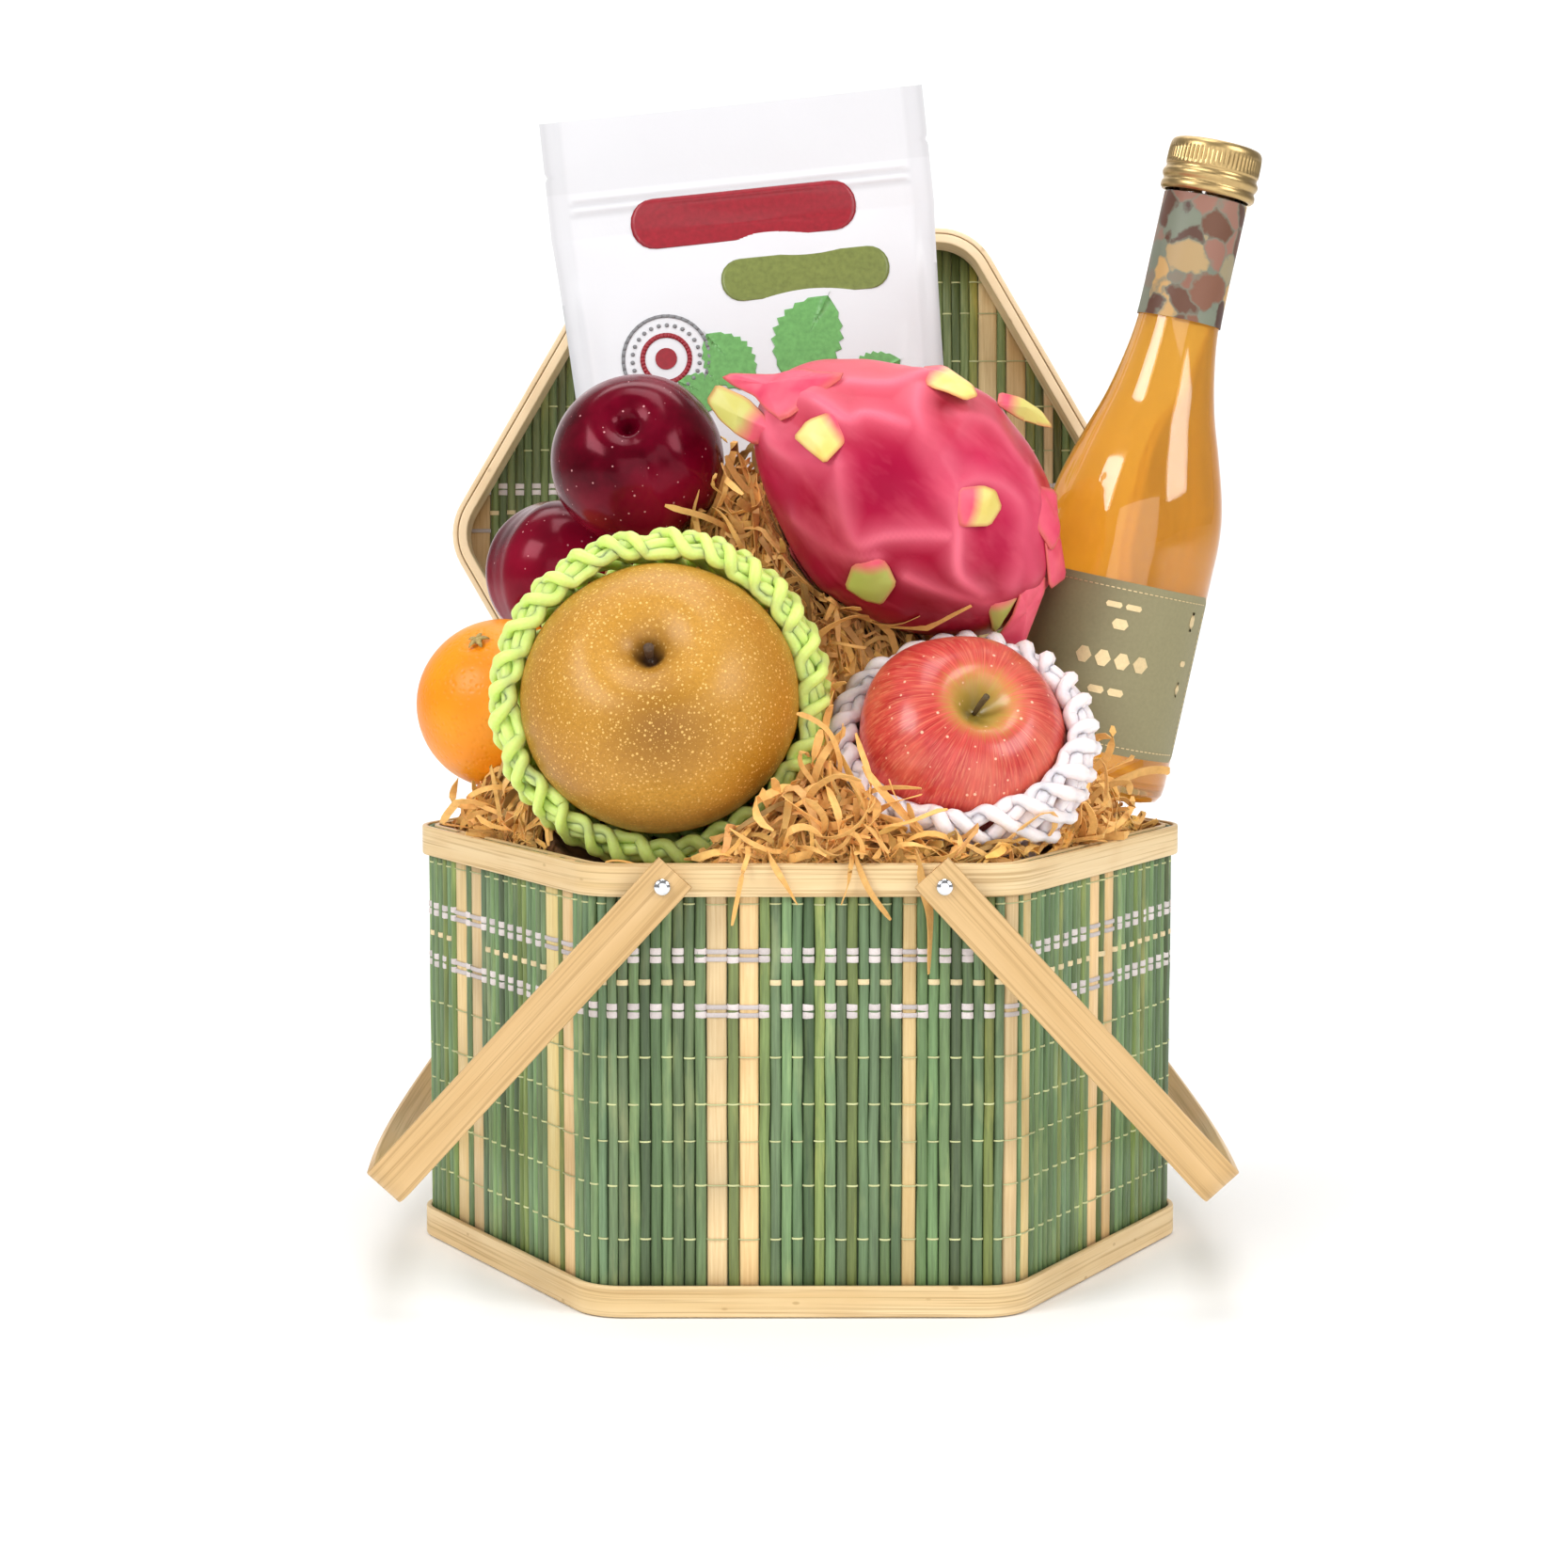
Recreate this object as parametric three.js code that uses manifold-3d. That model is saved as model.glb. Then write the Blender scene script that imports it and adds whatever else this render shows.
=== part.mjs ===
// A fruit hamper: a six-sided slatted bamboo basket with an open lid and two swing handles,
// filled with wood-wool shreds, fruit in foam nets, a pouch and a bottle of amber drink.
// Millimetres, +Z up, +Y to the back. The origin is the centre of the basket's underside.

import * as THREE from "three";
import { mergeVertices } from "three/addons/utils/BufferGeometryUtils.js";
import Module from "manifold-3d";

const wasm = await Module();
wasm.setup();

// Driving sizes

const GAP = 0.3;
const UP = new THREE.Vector3(0, 0, 1);
const DEG = Math.PI / 180;

const basket = { apothem: 131.6, height: 163.3, corner: 20, rimHeight: 11.4, baseHeight: 11.3 };
const wall = { band: 2.2, mat: 2.0, rib: 0.7, slatPitch: 7.6, lidPitch: 9.5, innerBand: 2.0 };
const board = { thickness: 4 };

const lid = { apothem: 137, corner: 27, depth: 24, ledge: 20.5, panel: 2.4, opened: 96 };
const hinge = { x: 22, z: 138, radius: 2.4, pin: 1.1, width: 14, leaf: 1.3, drop: 18, reach: 42 };

const handle = {
  pivotX: 49.5, pivotZ: 156.7, rest: 47.4, length: 146.5, bow: 11.5,
  width: 16, thickness: 3, tail: 6.7, bend: 7, inner: lid.apothem + GAP,
};
const rivet = { shank: 1.6, hole: 2.0, head: 2.9, dome: 1.8, washer: 2.9, spacer: 5 };

const pear = { at: [-52.3, -78, 218.7], radius: 51.3, half: 44, axis: [-0.09, -0.83, 0.55] };
const pearNet = { axis: [0, -1, 0.08], inner: 52.5, back: 56.8, rim: 61.5, lift: 5 };
const apple = { at: [58.9, -78, 204.3], radius: 38.2, half: 34, axis: [0.22, -0.8, 0.56] };
const appleNet = { axis: [-0.12, -0.72, 0.68], inner: 39.6, back: 44, rim: 48.2, lift: 0 };
const plums = [
  { name: "plum_1", at: [-63.4, -5, 306], radius: 33.7, half: 31.5, axis: [-0.1, -0.85, 0.5], turn: 200 },
  { name: "plum_2", at: [-95, 37, 260], radius: 31.6, half: 30.5, axis: [0.35, 0.25, 0.9], turn: 235 },
];
const orange = { at: [-117, 2, 210.5], radius: 33.8, half: 33, axis: [-0.24, -0.56, 0.79] };
const dragon = { at: [36.5, -29, 295], long: 70, round: 49, axis: [0.79, 0.08, -0.61] };

const bottle = { at: [109, 8, 177], tilt: 12, radius: 34.5, height: 256.5, sides: 20, glass: 3 };
const bottleLabel = { low: 18, high: 84, from: -4, to: 4, stand: 0.45, thick: 0.4 };
const neckLabel = { low: 187, high: 235 };
const cap = { radius: 18.3, height: 20.5, wall: 1.6 };

const pouch = {
  at: [-4.9, 79, 230.9], height: 224, width: 160, waist: 9, thick: 38, seal: 1.4, tilt: -6, lean: -4.5,
};

const heap = { base: 158, peak: 133, x: -5, y: 15, left: 75, right: 56, front: 48, back: 62 };
const shred = { width: 3.2, thick: 1.0, count: 44, seed: 17 };

// Colours

const finish = (color, roughness, metalness = 0, opacity = 1) =>
  new THREE.MeshStandardMaterial({ color, roughness, metalness, opacity, transparent: opacity < 1 });
const material = {
  bamboo: finish(0xecd09a, 0.5),
  greenSlat: finish(0x6c9366, 0.6),
  paleBoard: finish(0xe2c893, 0.6),
  chrome: finish(0xd8dade, 0.15, 1),
  brass: finish(0xc9a55a, 0.35, 1),
  pearSkin: finish(0xb88a35, 0.5),
  stem: finish(0x4a3018, 0.8),
  greenFoam: finish(0xa9dc62, 0.7),
  pinkFoam: finish(0xf3e3e6, 0.7),
  appleSkin: finish(0xd0525a, 0.35),
  plumSkin: finish(0x6b0f2c, 0.3),
  orangeSkin: finish(0xf79a14, 0.45),
  calyx: finish(0x9a8a3c, 0.8),
  dragonSkin: finish(0xd23c6e, 0.45),
  glass: finish(0xf0e6d0, 0.05, 0, 0.3),
  drink: finish(0xd9962e, 0.1, 0, 0.85),
  gold: finish(0xd8b46a, 0.3, 1),
  labelPaper: finish(0x80866a, 0.6),
  neckPaper: finish(0x5a5648, 0.6),
  film: finish(0xf6f6f8, 0.25),
  shreds: finish(0xd3a163, 0.8),
};

// Booleans on closed meshes

function toSolid(geometry) {
  const bare = geometry.clone();
  bare.deleteAttribute("normal");
  bare.deleteAttribute("uv");
  const merged = mergeVertices(bare, 1e-4);
  return new wasm.Manifold(new wasm.Mesh({
    numProp: 3,
    vertProperties: new Float32Array(merged.attributes.position.array),
    triVerts: new Uint32Array(merged.index.array),
  }));
}

function toGeometry(solid) {
  const mesh = solid.getMesh();
  const geometry = new THREE.BufferGeometry();
  const points = new Float32Array((mesh.vertProperties.length / mesh.numProp) * 3);
  for (let i = 0; i < points.length / 3; i += 1) {
    for (let k = 0; k < 3; k += 1) points[3 * i + k] = mesh.vertProperties[mesh.numProp * i + k];
  }
  geometry.setAttribute("position", new THREE.BufferAttribute(points, 3));
  geometry.setIndex(new THREE.BufferAttribute(new Uint32Array(mesh.triVerts), 1));
  geometry.computeVertexNormals();
  return geometry;
}

const cut = (geometry, tools) =>
  toGeometry(tools.reduce((body, tool) => body.subtract(toSolid(tool)), toSolid(geometry)));
const join = (geometry, extras) =>
  toGeometry(extras.reduce((body, extra) => body.add(toSolid(extra)), toSolid(geometry)));

// The largest piece of a solid, so that no loose scrap of a cut is kept
function largestPiece(solid) {
  const pieces = solid.decompose();
  return pieces.reduce((best, piece) => (piece.volume() > best.volume() ? piece : best));
}

// Small shape helpers

const model = new THREE.Group();
const lidGroup = new THREE.Group();
model.add(lidGroup);

function place(name, geometry, look, parent = model) {
  const mesh = new THREE.Mesh(geometry, look);
  mesh.name = name;
  parent.add(mesh);
  return mesh;
}

function placeOnAxis(mesh, at, axis) {
  mesh.position.set(...at);
  mesh.quaternion.setFromUnitVectors(UP, new THREE.Vector3(...axis).normalize());
  return mesh;
}

// A rounded hexagon with flats at front and back: corner arcs of the given radius
function hexPoints(apothem, corner, steps = 4) {
  const reach = (apothem - corner) / Math.cos(30 * DEG);
  const points = [];
  for (let k = 0; k < 6; k += 1) {
    for (let i = 0; i <= steps; i += 1) {
      const a = (60 * k - 30 + (60 * i) / steps) * DEG;
      points.push(new THREE.Vector2(
        reach * Math.cos(60 * k * DEG) + corner * Math.cos(a),
        reach * Math.sin(60 * k * DEG) + corner * Math.sin(a)));
    }
  }
  return points;
}

// The same outline drawn in by a depth, its corners tightened to suit
const inset = (outline, depth, steps) =>
  hexPoints(outline.apothem - depth, Math.max(outline.corner - depth, 2), steps);

function extrude(points, low, high, holes = []) {
  const shape = new THREE.Shape(points);
  holes.forEach((hole) => shape.holes.push(new THREE.Path(hole)));
  const geometry = new THREE.ExtrudeGeometry(shape, { depth: high - low, bevelEnabled: false });
  return geometry.translate(0, 0, low);
}

const hexRing = (outline, outer, inner, low, high) =>
  extrude(inset(outline, outer), low, high, [inset(outline, inner)]);

// A round bar along X or Y, from its two end faces
function bar(axis, radius, from, to, across, sides) {
  const geometry = new THREE.CylinderGeometry(radius, radius, to - from, sides);
  const middle = (from + to) / 2;
  if (axis === "x") return geometry.rotateZ(90 * DEG).translate(middle, across[0], across[1]);
  return geometry.translate(across[0], middle, across[1]);
}

function box(low, high) {
  const size = high.map((value, k) => value - low[k]);
  return new THREE.BoxGeometry(...size)
    .translate(...low.map((value, k) => value + size[k] / 2));
}

// A turned piece: profile of [radius, z] pairs, from axis to axis, about Z
function turned(profile, sides) {
  const points = profile.map(([r, z]) => new THREE.Vector2(r, z));
  return new THREE.LatheGeometry(points, sides).rotateX(90 * DEG);
}

// A closed skin between two poles: place(t, angle) gives a point, t from 0 at one pole to 1
function skin(rings, sectors, point) {
  const positions = [...point(0, 0)];
  for (let j = 1; j < rings; j += 1) {
    for (let i = 0; i < sectors; i += 1) positions.push(...point(j / rings, (2 * Math.PI * i) / sectors));
  }
  positions.push(...point(1, 0));
  const last = positions.length / 3 - 1;
  const at = (j, i) => 1 + (j - 1) * sectors + (i % sectors);
  const index = [];
  for (let i = 0; i < sectors; i += 1) {
    index.push(0, at(1, i), at(1, i + 1));
    for (let j = 1; j < rings - 1; j += 1) {
      index.push(at(j, i), at(j + 1, i), at(j + 1, i + 1));
      index.push(at(j, i), at(j + 1, i + 1), at(j, i + 1));
    }
    index.push(last, at(rings - 1, i + 1), at(rings - 1, i));
  }
  const geometry = new THREE.BufferGeometry();
  geometry.setAttribute("position", new THREE.Float32BufferAttribute(positions, 3));
  geometry.setIndex(index);
  geometry.computeVertexNormals();
  return geometry;
}

function seeded(seed) {
  let state = seed;
  return () => {
    state = (state * 1664525 + 1013904223) % 4294967296;
    return state / 4294967296;
  };
}

// Basket: slatted mat between an outer and an inner band, a base band and a bottom board

const matOuter = wall.band + GAP;
const matInner = matOuter + wall.mat;
const innerFace = matInner + GAP + wall.innerBand;

// Walks a rounded hexagon and gives a point and outward normal at each length along it
function hexWalk(apothem, corner) {
  const arc = corner * 60 * DEG;
  const flat = 2 * (apothem - corner) * Math.tan(30 * DEG);
  const side = arc + flat;
  const centre = (apothem - corner) / Math.cos(30 * DEG);
  const at = (s) => {
    const k = Math.floor(s / side);
    const rest = s - k * side;
    const pivot = new THREE.Vector2(Math.cos(60 * k * DEG), Math.sin(60 * k * DEG));
    const turn = 60 * k - 30 + Math.min(rest / arc, 1) * 60;
    const normal = new THREE.Vector2(Math.cos(turn * DEG), Math.sin(turn * DEG));
    const along = new THREE.Vector2(-normal.y, normal.x).multiplyScalar(Math.max(rest - arc, 0));
    return { point: pivot.multiplyScalar(centre).addScaledVector(normal, corner).add(along), normal };
  };
  return { length: 6 * side, at };
}

function slatOutline() {
  const walk = hexWalk(basket.apothem - matOuter, basket.corner - matOuter);
  const ribs = Math.round(walk.length / wall.slatPitch);
  const points = [];
  for (let i = 0; i < 2 * ribs; i += 1) {
    const { point, normal } = walk.at((walk.length * i) / (2 * ribs));
    points.push(point.addScaledVector(normal, i % 2 ? 0 : -wall.rib));
  }
  return points;
}

// Holes for the four rivets, through everything that the rivets hold
const rivetSpots = [-1, 1].flatMap((side) => [-1, 1].map((face) => ({ side, face })));
const rivetHoles = rivetSpots.map(({ side, face }) =>
  bar("y", rivet.hole, 130 * face - 30, 130 * face + 30, [side * handle.pivotX, handle.pivotZ], 8));

const rimLow = basket.height - basket.rimHeight;
const slatMat = extrude(slatOutline(), 0.6, basket.height - 0.5, [inset(basket, matInner)]);
place("slat_wall", cut(slatMat, rivetHoles), material.greenSlat);
place("rim_band", cut(hexRing(basket, 0, wall.band, rimLow, basket.height), rivetHoles), material.bamboo);
const rimInner = hexRing(basket, matInner + GAP, innerFace, rimLow, basket.height);
place("rim_band_inner", cut(rimInner, rivetHoles), material.bamboo);
place("base_band", hexRing(basket, 0, wall.band, 0, basket.baseHeight), material.bamboo);
place("base_board", extrude(inset(basket, matInner + GAP), 0, board.thickness), material.paleBoard);

// Handles: one flat strip each, bent into two arms and a bowed grip, on four rivets

// Outline of the strip in the plane of its arms: s along the arms, t across the basket
function handleOutline() {
  const half = handle.inner + handle.thickness;
  const centre = half - handle.thickness / 2;
  const path = [new THREE.Vector2(-handle.tail, -centre)];
  const bendSteps = 3;
  const corner = new THREE.Vector2(handle.length - handle.bend, -centre + handle.bend);
  for (let i = 0; i <= bendSteps; i += 1) {
    const a = (-90 + (82 * i) / bendSteps) * DEG;
    const turn = new THREE.Vector2(Math.cos(a), Math.sin(a)).multiplyScalar(handle.bend);
    path.push(turn.add(corner));
  }
  const bowSteps = 10;
  const span = centre - handle.bend;
  for (let i = 1; i < bowSteps; i += 1) {
    const t = -1 + (2 * i) / bowSteps;
    path.push(new THREE.Vector2(handle.length + handle.bow * Math.cos((t * Math.PI) / 2), span * t));
  }
  for (let i = bendSteps; i >= 0; i -= 1) {
    const mate = path[1 + i];
    path.push(new THREE.Vector2(mate.x, -mate.y));
  }
  path.push(new THREE.Vector2(-handle.tail, centre));
  const offset = (side) => path.map((point, i) => {
    const before = path[Math.max(i - 1, 0)];
    const after = path[Math.min(i + 1, path.length - 1)];
    const along = after.clone().sub(before).normalize();
    const across = new THREE.Vector2(along.y, -along.x);
    return point.clone().addScaledVector(across, (side * handle.thickness) / 2);
  });
  return [...offset(1), ...offset(-1).reverse()];
}

function handleGeometry() {
  const strip = extrude(handleOutline(), -handle.width / 2, handle.width / 2);
  const holes = [-1, 1].map((face) =>
    bar("y", rivet.hole, 140 * face - 20, 140 * face + 20, [0, 0], 8));
  return cut(strip, holes);
}

for (const [name, side] of [["handle_right", 1], ["handle_left", -1]]) {
  const mesh = place(name, handleGeometry(), material.bamboo);
  mesh.position.set(side * handle.pivotX, 0, handle.pivotZ);
  mesh.rotation.y = side > 0 ? handle.rest * DEG : (180 - handle.rest) * DEG;
}

// A rivet along +Y: domed head outside the arm, shank, and a washer inside the rim
function rivetGeometry() {
  const headAt = handle.inner + handle.thickness + GAP;
  const washerAt = basket.apothem - innerFace - GAP;
  const profile = [[0, washerAt - 1], [rivet.washer, washerAt - 1], [rivet.washer, washerAt],
    [rivet.shank, washerAt], [rivet.shank, headAt], [rivet.head, headAt],
    [rivet.head * 0.7, headAt + rivet.dome * 0.75], [0, headAt + rivet.dome]];
  return turned(profile, 8).rotateX(-90 * DEG);
}

function spacerGeometry() {
  const low = basket.apothem + GAP;
  const high = handle.inner - GAP;
  const hole = bar("y", rivet.hole, low - 1, high + 1, [0, 0], 8);
  return cut(bar("y", rivet.spacer, low, high, [0, 0], 10), [hole]);
}

for (const { side, face } of rivetSpots) {
  const tag = `${face < 0 ? "front" : "back"}_${side < 0 ? "left" : "right"}`;
  for (const [name, geometry, look] of [["rivet", rivetGeometry(), material.chrome],
    ["spacer", spacerGeometry(), material.bamboo]]) {
    const mesh = place(`${name}_${tag}`, geometry, look);
    mesh.position.set(side * handle.pivotX, 0, handle.pivotZ);
    mesh.rotation.z = face < 0 ? Math.PI : 0;
  }
}

// Lid: a shallow six-sided tray of the same slats, drawn here shut and then swung open

const lidLow = basket.height + GAP;
const lidHigh = lidLow + lid.depth;
const hingeY = lid.apothem + GAP + hinge.leaf / 2 + 1;

function slatPanel(low, high, halfWidth) {
  const ribs = Math.round((2 * halfWidth) / wall.lidPitch);
  const points = [];
  for (let i = 0; i <= 2 * ribs; i += 1) {
    points.push(new THREE.Vector2(-halfWidth + (i * halfWidth) / ribs, high - (i % 2 ? 0 : wall.rib)));
  }
  for (let i = 2 * ribs; i >= 0; i -= 1) {
    points.push(new THREE.Vector2(-halfWidth + (i * halfWidth) / ribs, low + (i % 2 ? 0 : wall.rib)));
  }
  return extrude(points, -170, 170).rotateX(90 * DEG);
}

const lidInner = wall.band + GAP;
const lidLedge = lidInner + wall.mat + wall.innerBand;
place("lid_band", hexRing(lid, 0, wall.band, lidLow, lidHigh), material.bamboo, lidGroup);
const panelLow = lidLow + lid.ledge + GAP;
const lidRing = hexRing(lid, lidInner, lidLedge, lidLow, lidLow + lid.ledge);
place("lid_band_inner", lidRing, material.bamboo, lidGroup);
place("lid_panel", toGeometry(toSolid(slatPanel(panelLow, panelLow + lid.panel, 170))
  .intersect(toSolid(extrude(inset(lid, lidInner), lidLow, lidHigh + 5)))), material.greenSlat, lidGroup);

// Hinges: a fixed leaf under the rim, a long leaf on the lid, and a pin through their knuckles
const matFace = basket.apothem - matOuter;
const hingeHole = (x) => bar("x", hinge.pin + GAP, x - 20, x + 20, [hingeY, hinge.z], 10);
const knuckle = hinge.width / 3;
for (const [side, x] of [["left", -hinge.x], ["right", hinge.x]]) {
  const low = x - hinge.width / 2;
  const high = x + hinge.width / 2;
  const back = matFace + GAP;
  const plate = box([low, back, hinge.z - hinge.drop], [high, back + hinge.leaf, hinge.z + 3]);
  const web = box([low + knuckle, back, hinge.z - 1.6], [high - knuckle, hingeY, hinge.z + 1.6]);
  const barrel = bar("x", hinge.radius, low + knuckle, high - knuckle, [hingeY, hinge.z], 10);
  place(`hinge_leaf_${side}`, cut(join(plate, [web, barrel]), [hingeHole(x)]), material.brass);
  place(`hinge_pin_${side}`, bar("x", hinge.pin, low - 1, high + 1, [hingeY, hinge.z], 8), material.brass);

  const leafLow = lid.apothem + GAP;
  const strap = box([low, leafLow, hinge.z], [high, leafLow + hinge.leaf, hinge.z + hinge.reach]);
  const inside = [low + knuckle - GAP, high - knuckle + GAP];
  const notch = box([inside[0], leafLow - 5, hinge.z - 5], [inside[1], leafLow + 5, hinge.z + 4]);
  const ends = [[low, inside[0]], [inside[1], high]].map(([from, to]) =>
    bar("x", hinge.radius, from, to, [hingeY, hinge.z], 10));
  const leaf = cut(join(cut(strap, [notch]), ends), [hingeHole(x)]);
  place(`lid_hinge_leaf_${side}`, leaf, material.brass, lidGroup);
}

// The open lid: the group turns about the hinge line
lidGroup.rotation.x = -lid.opened * DEG;
lidGroup.position.set(0, hingeY, hinge.z);
lidGroup.children.forEach((mesh) => mesh.geometry.translate(0, -hingeY, -hinge.z));

// Fruit

// Oblate fruit about local Z: lobes swell it, a dimple at the stem end and a shallow one below
function fruitGeometry({ radius, half }, form) {
  const { rings, sectors, dimple, spread, lobes = 0, suture = 0, turn = 0 } = form;
  return skin(rings, sectors, (t, angle) => {
    const a = t * Math.PI;
    const swell = 1 + lobes * Math.cos(5 * angle) * Math.sin(a);
    const seam = 1 - suture * Math.exp(-(((Math.cos(angle - turn * DEG) - 1) * 14) ** 2));
    const r = radius * Math.sin(a) * swell * seam;
    const well = dimple * Math.exp(-((r / spread) ** 2));
    return [r * Math.cos(angle), r * Math.sin(angle),
      half * Math.cos(a) - (t < 0.5 ? well : -well * 0.4)];
  });
}

// A sock of foam netting: a bowl round the back of a fruit, its rolled rim knobbled by the strands
function netGeometry(net, rings, sectors) {
  return skin(rings, sectors, (t, angle) => {
    const outside = t >= 0.45;
    const a = outside ? (1 - t) / 0.55 : t / 0.45;
    const polar = Math.PI - a * (90 * DEG + Math.asin(net.lift / net.rim));
    const strands = 1.3 * Math.cos((sectors / 2) * angle + 9 * a) * a;
    const r = outside ? net.back + (net.rim - net.back) * a ** 2 + strands - 1.3 * a : net.inner;
    const flat = r * Math.sin(polar);
    return [flat * Math.cos(angle), flat * Math.sin(angle), r * Math.cos(polar)];
  });
}

function stemGeometry(from, to, radius) {
  const middle = (from + to) / 2;
  return turned([[0, from], [radius * 0.8, from], [radius, middle], [radius * 1.2, to], [0, to]], 6);
}

const pearForm = { rings: 13, sectors: 22, dimple: 13, spread: 9 };
const pearStem = stemGeometry(pear.half - pearForm.dimple + 2.4, pear.half - 6, 1.5);
placeOnAxis(place("pear", fruitGeometry(pear, pearForm), material.pearSkin), pear.at, pear.axis);
placeOnAxis(place("pear_stem", pearStem, material.stem), pear.at, pear.axis);
placeOnAxis(place("pear_net", netGeometry(pearNet, 11, 26), material.greenFoam), pear.at, pearNet.axis);

const appleForm = { rings: 12, sectors: 20, dimple: 14, spread: 10, lobes: 0.015 };
const appleStem = stemGeometry(apple.half - appleForm.dimple + 2.4, apple.half - 3, 1.1);
placeOnAxis(place("apple", fruitGeometry(apple, appleForm), material.appleSkin), apple.at, apple.axis);
placeOnAxis(place("apple_stem", appleStem, material.stem), apple.at, apple.axis);
placeOnAxis(place("apple_net", netGeometry(appleNet, 11, 24), material.pinkFoam), apple.at, appleNet.axis);

for (const plum of plums) {
  const form = { rings: 12, sectors: 18, dimple: 7, spread: 7, suture: 0.05, turn: plum.turn };
  placeOnAxis(place(plum.name, fruitGeometry(plum, form), material.plumSkin), plum.at, plum.axis);
}

const orangeForm = { rings: 12, sectors: 18, dimple: 1.6, spread: 6 };
placeOnAxis(place("orange", fruitGeometry(orange, orangeForm), material.orangeSkin), orange.at, orange.axis);
const calyx = new THREE.Shape();
for (let i = 0; i < 10; i += 1) {
  const r = i % 2 ? 2.2 : 4.6;
  calyx[i ? "lineTo" : "moveTo"](r * Math.cos(i * 36 * DEG), r * Math.sin(i * 36 * DEG));
}
const calyxLow = orange.half - 0.9;
const calyxStar = new THREE.ExtrudeGeometry(calyx, { depth: 1.4, bevelEnabled: false });
calyxStar.translate(0, 0, calyxLow);
placeOnAxis(place("orange_calyx", calyxStar, material.calyx), orange.at, orange.axis);

// Dragon fruit: an ellipsoid with its leafy scales fused on. Local X runs along the fruit,
// local Y faces out of the basket. Each scale: place along, angle round, length, width, tilt
const dragonScales = [
  { along: -0.84, round: -18, length: 24, width: 17, tilt: 35, back: true },
  { along: -0.5, round: -5, length: 17, width: 19, tilt: 40 },
  { along: -0.16, round: 58, length: 22, width: 15, tilt: 26 },
  { along: 0.13, round: 84, length: 28, width: 8, tilt: 24 },
  { along: 0.38, round: 18, length: 17, width: 17, tilt: 36 },
  { along: 0.12, round: -42, length: 20, width: 18, tilt: 34 },
  { along: 0.82, round: -28, length: 22, width: 18, tilt: 20 },
  { along: 0.9, round: 30, length: 14, width: 12, tilt: 20 },
  { along: -0.8, round: 120, length: 18, width: 16, tilt: 30, back: true },
  { along: -0.3, round: 150, length: 18, width: 15, tilt: 25 },
  { along: 0.35, round: 140, length: 18, width: 15, tilt: 25 },
];

// The body is slimmer towards its stem end
const dragonTaper = (s) => 1 - 0.2 * Math.max(0, -s);

function dragonGeometry() {
  const body = skin(13, 20, (t, angle) => {
    const a = t * Math.PI;
    const r = dragon.round * dragonTaper(Math.cos(a)) * Math.sin(a) ** 0.92;
    return [r * Math.cos(angle), r * Math.sin(angle), dragon.long * Math.cos(a)];
  }).rotateY(90 * DEG);
  const scales = dragonScales.map(({ along, round, length, width, tilt, back }) => {
    const leaf = new THREE.BoxGeometry(length, width, 3.2, 2, 1, 1);
    const p = leaf.attributes.position;
    for (let i = 0; i < p.count; i += 1) {
      const s = p.getX(i) / length + 0.5;
      const lift = p.getZ(i) * (1 - 0.6 * s) - 7 * s ** 3;
      p.setXYZ(i, s * length - 4, p.getY(i) * (1 - 0.55 * s ** 2), lift);
    }
    if (back) leaf.rotateZ(Math.PI);
    const holder = new THREE.Object3D();
    const ring = dragon.round * dragonTaper(along) * Math.sqrt(1 - along ** 2) - 2.5;
    holder.rotation.set((90 - round) * DEG, (back ? tilt : -tilt) * DEG, 0);
    holder.position.set(along * dragon.long, -ring * Math.cos(round * DEG), ring * Math.sin(round * DEG));
    holder.updateMatrix();
    return leaf.applyMatrix4(holder.matrix);
  });
  return join(body, scales);
}

function dragonTurn() {
  const along = new THREE.Vector3(...dragon.axis).normalize();
  const out = new THREE.Vector3(0, 1, 0).addScaledVector(along, -along.y).normalize();
  return new THREE.Quaternion().setFromRotationMatrix(
    new THREE.Matrix4().makeBasis(along, out, along.clone().cross(out)));
}
const dragonMesh = place("dragon_fruit", dragonGeometry(), material.dragonSkin);
dragonMesh.position.set(...dragon.at);
dragonMesh.quaternion.copy(dragonTurn());

// Bottle: glass shell, drink, screw cap and two paper labels, leaning to the right

const bottleGroup = new THREE.Group();
bottleGroup.position.set(...bottle.at);
bottleGroup.rotation.y = bottle.tilt * DEG;
model.add(bottleGroup);

// Outer radius at each height, base to neck
const bottleCurve = [[34.5, 8], [34.5, 104], [33.4, 115], [30.8, 126], [26.4, 140], [21.8, 154],
  [18.2, 170], [16.2, 184], [15.7, 198], [15.7, 235.4]];
const mouth = bottle.height - cap.wall - GAP;
const bore = bottleCurve.filter((_, i) => i === 0 || i % 2 === 1).map(([r, z]) => [r - bottle.glass, z]);
const glassProfile = [[0, 1.6], [24, 1.2], [28, 0], [32.6, 1.5], ...bottleCurve,
  [14.2, 236.5], [14.2, mouth], [11.6, mouth], ...[...bore].reverse(), [0, 6.5]];
place("bottle_glass", turned(glassProfile, bottle.sides), material.glass, bottleGroup);

const drinkTop = 214;
const drinkProfile = [[0, 6.5 + GAP], ...bore.slice(0, -1).map(([r, z]) => [r - 1.5 * GAP, z + GAP]),
  [12.3, drinkTop], [0, drinkTop]];
place("bottle_drink", turned(drinkProfile, bottle.sides), material.drink, bottleGroup);

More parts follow.
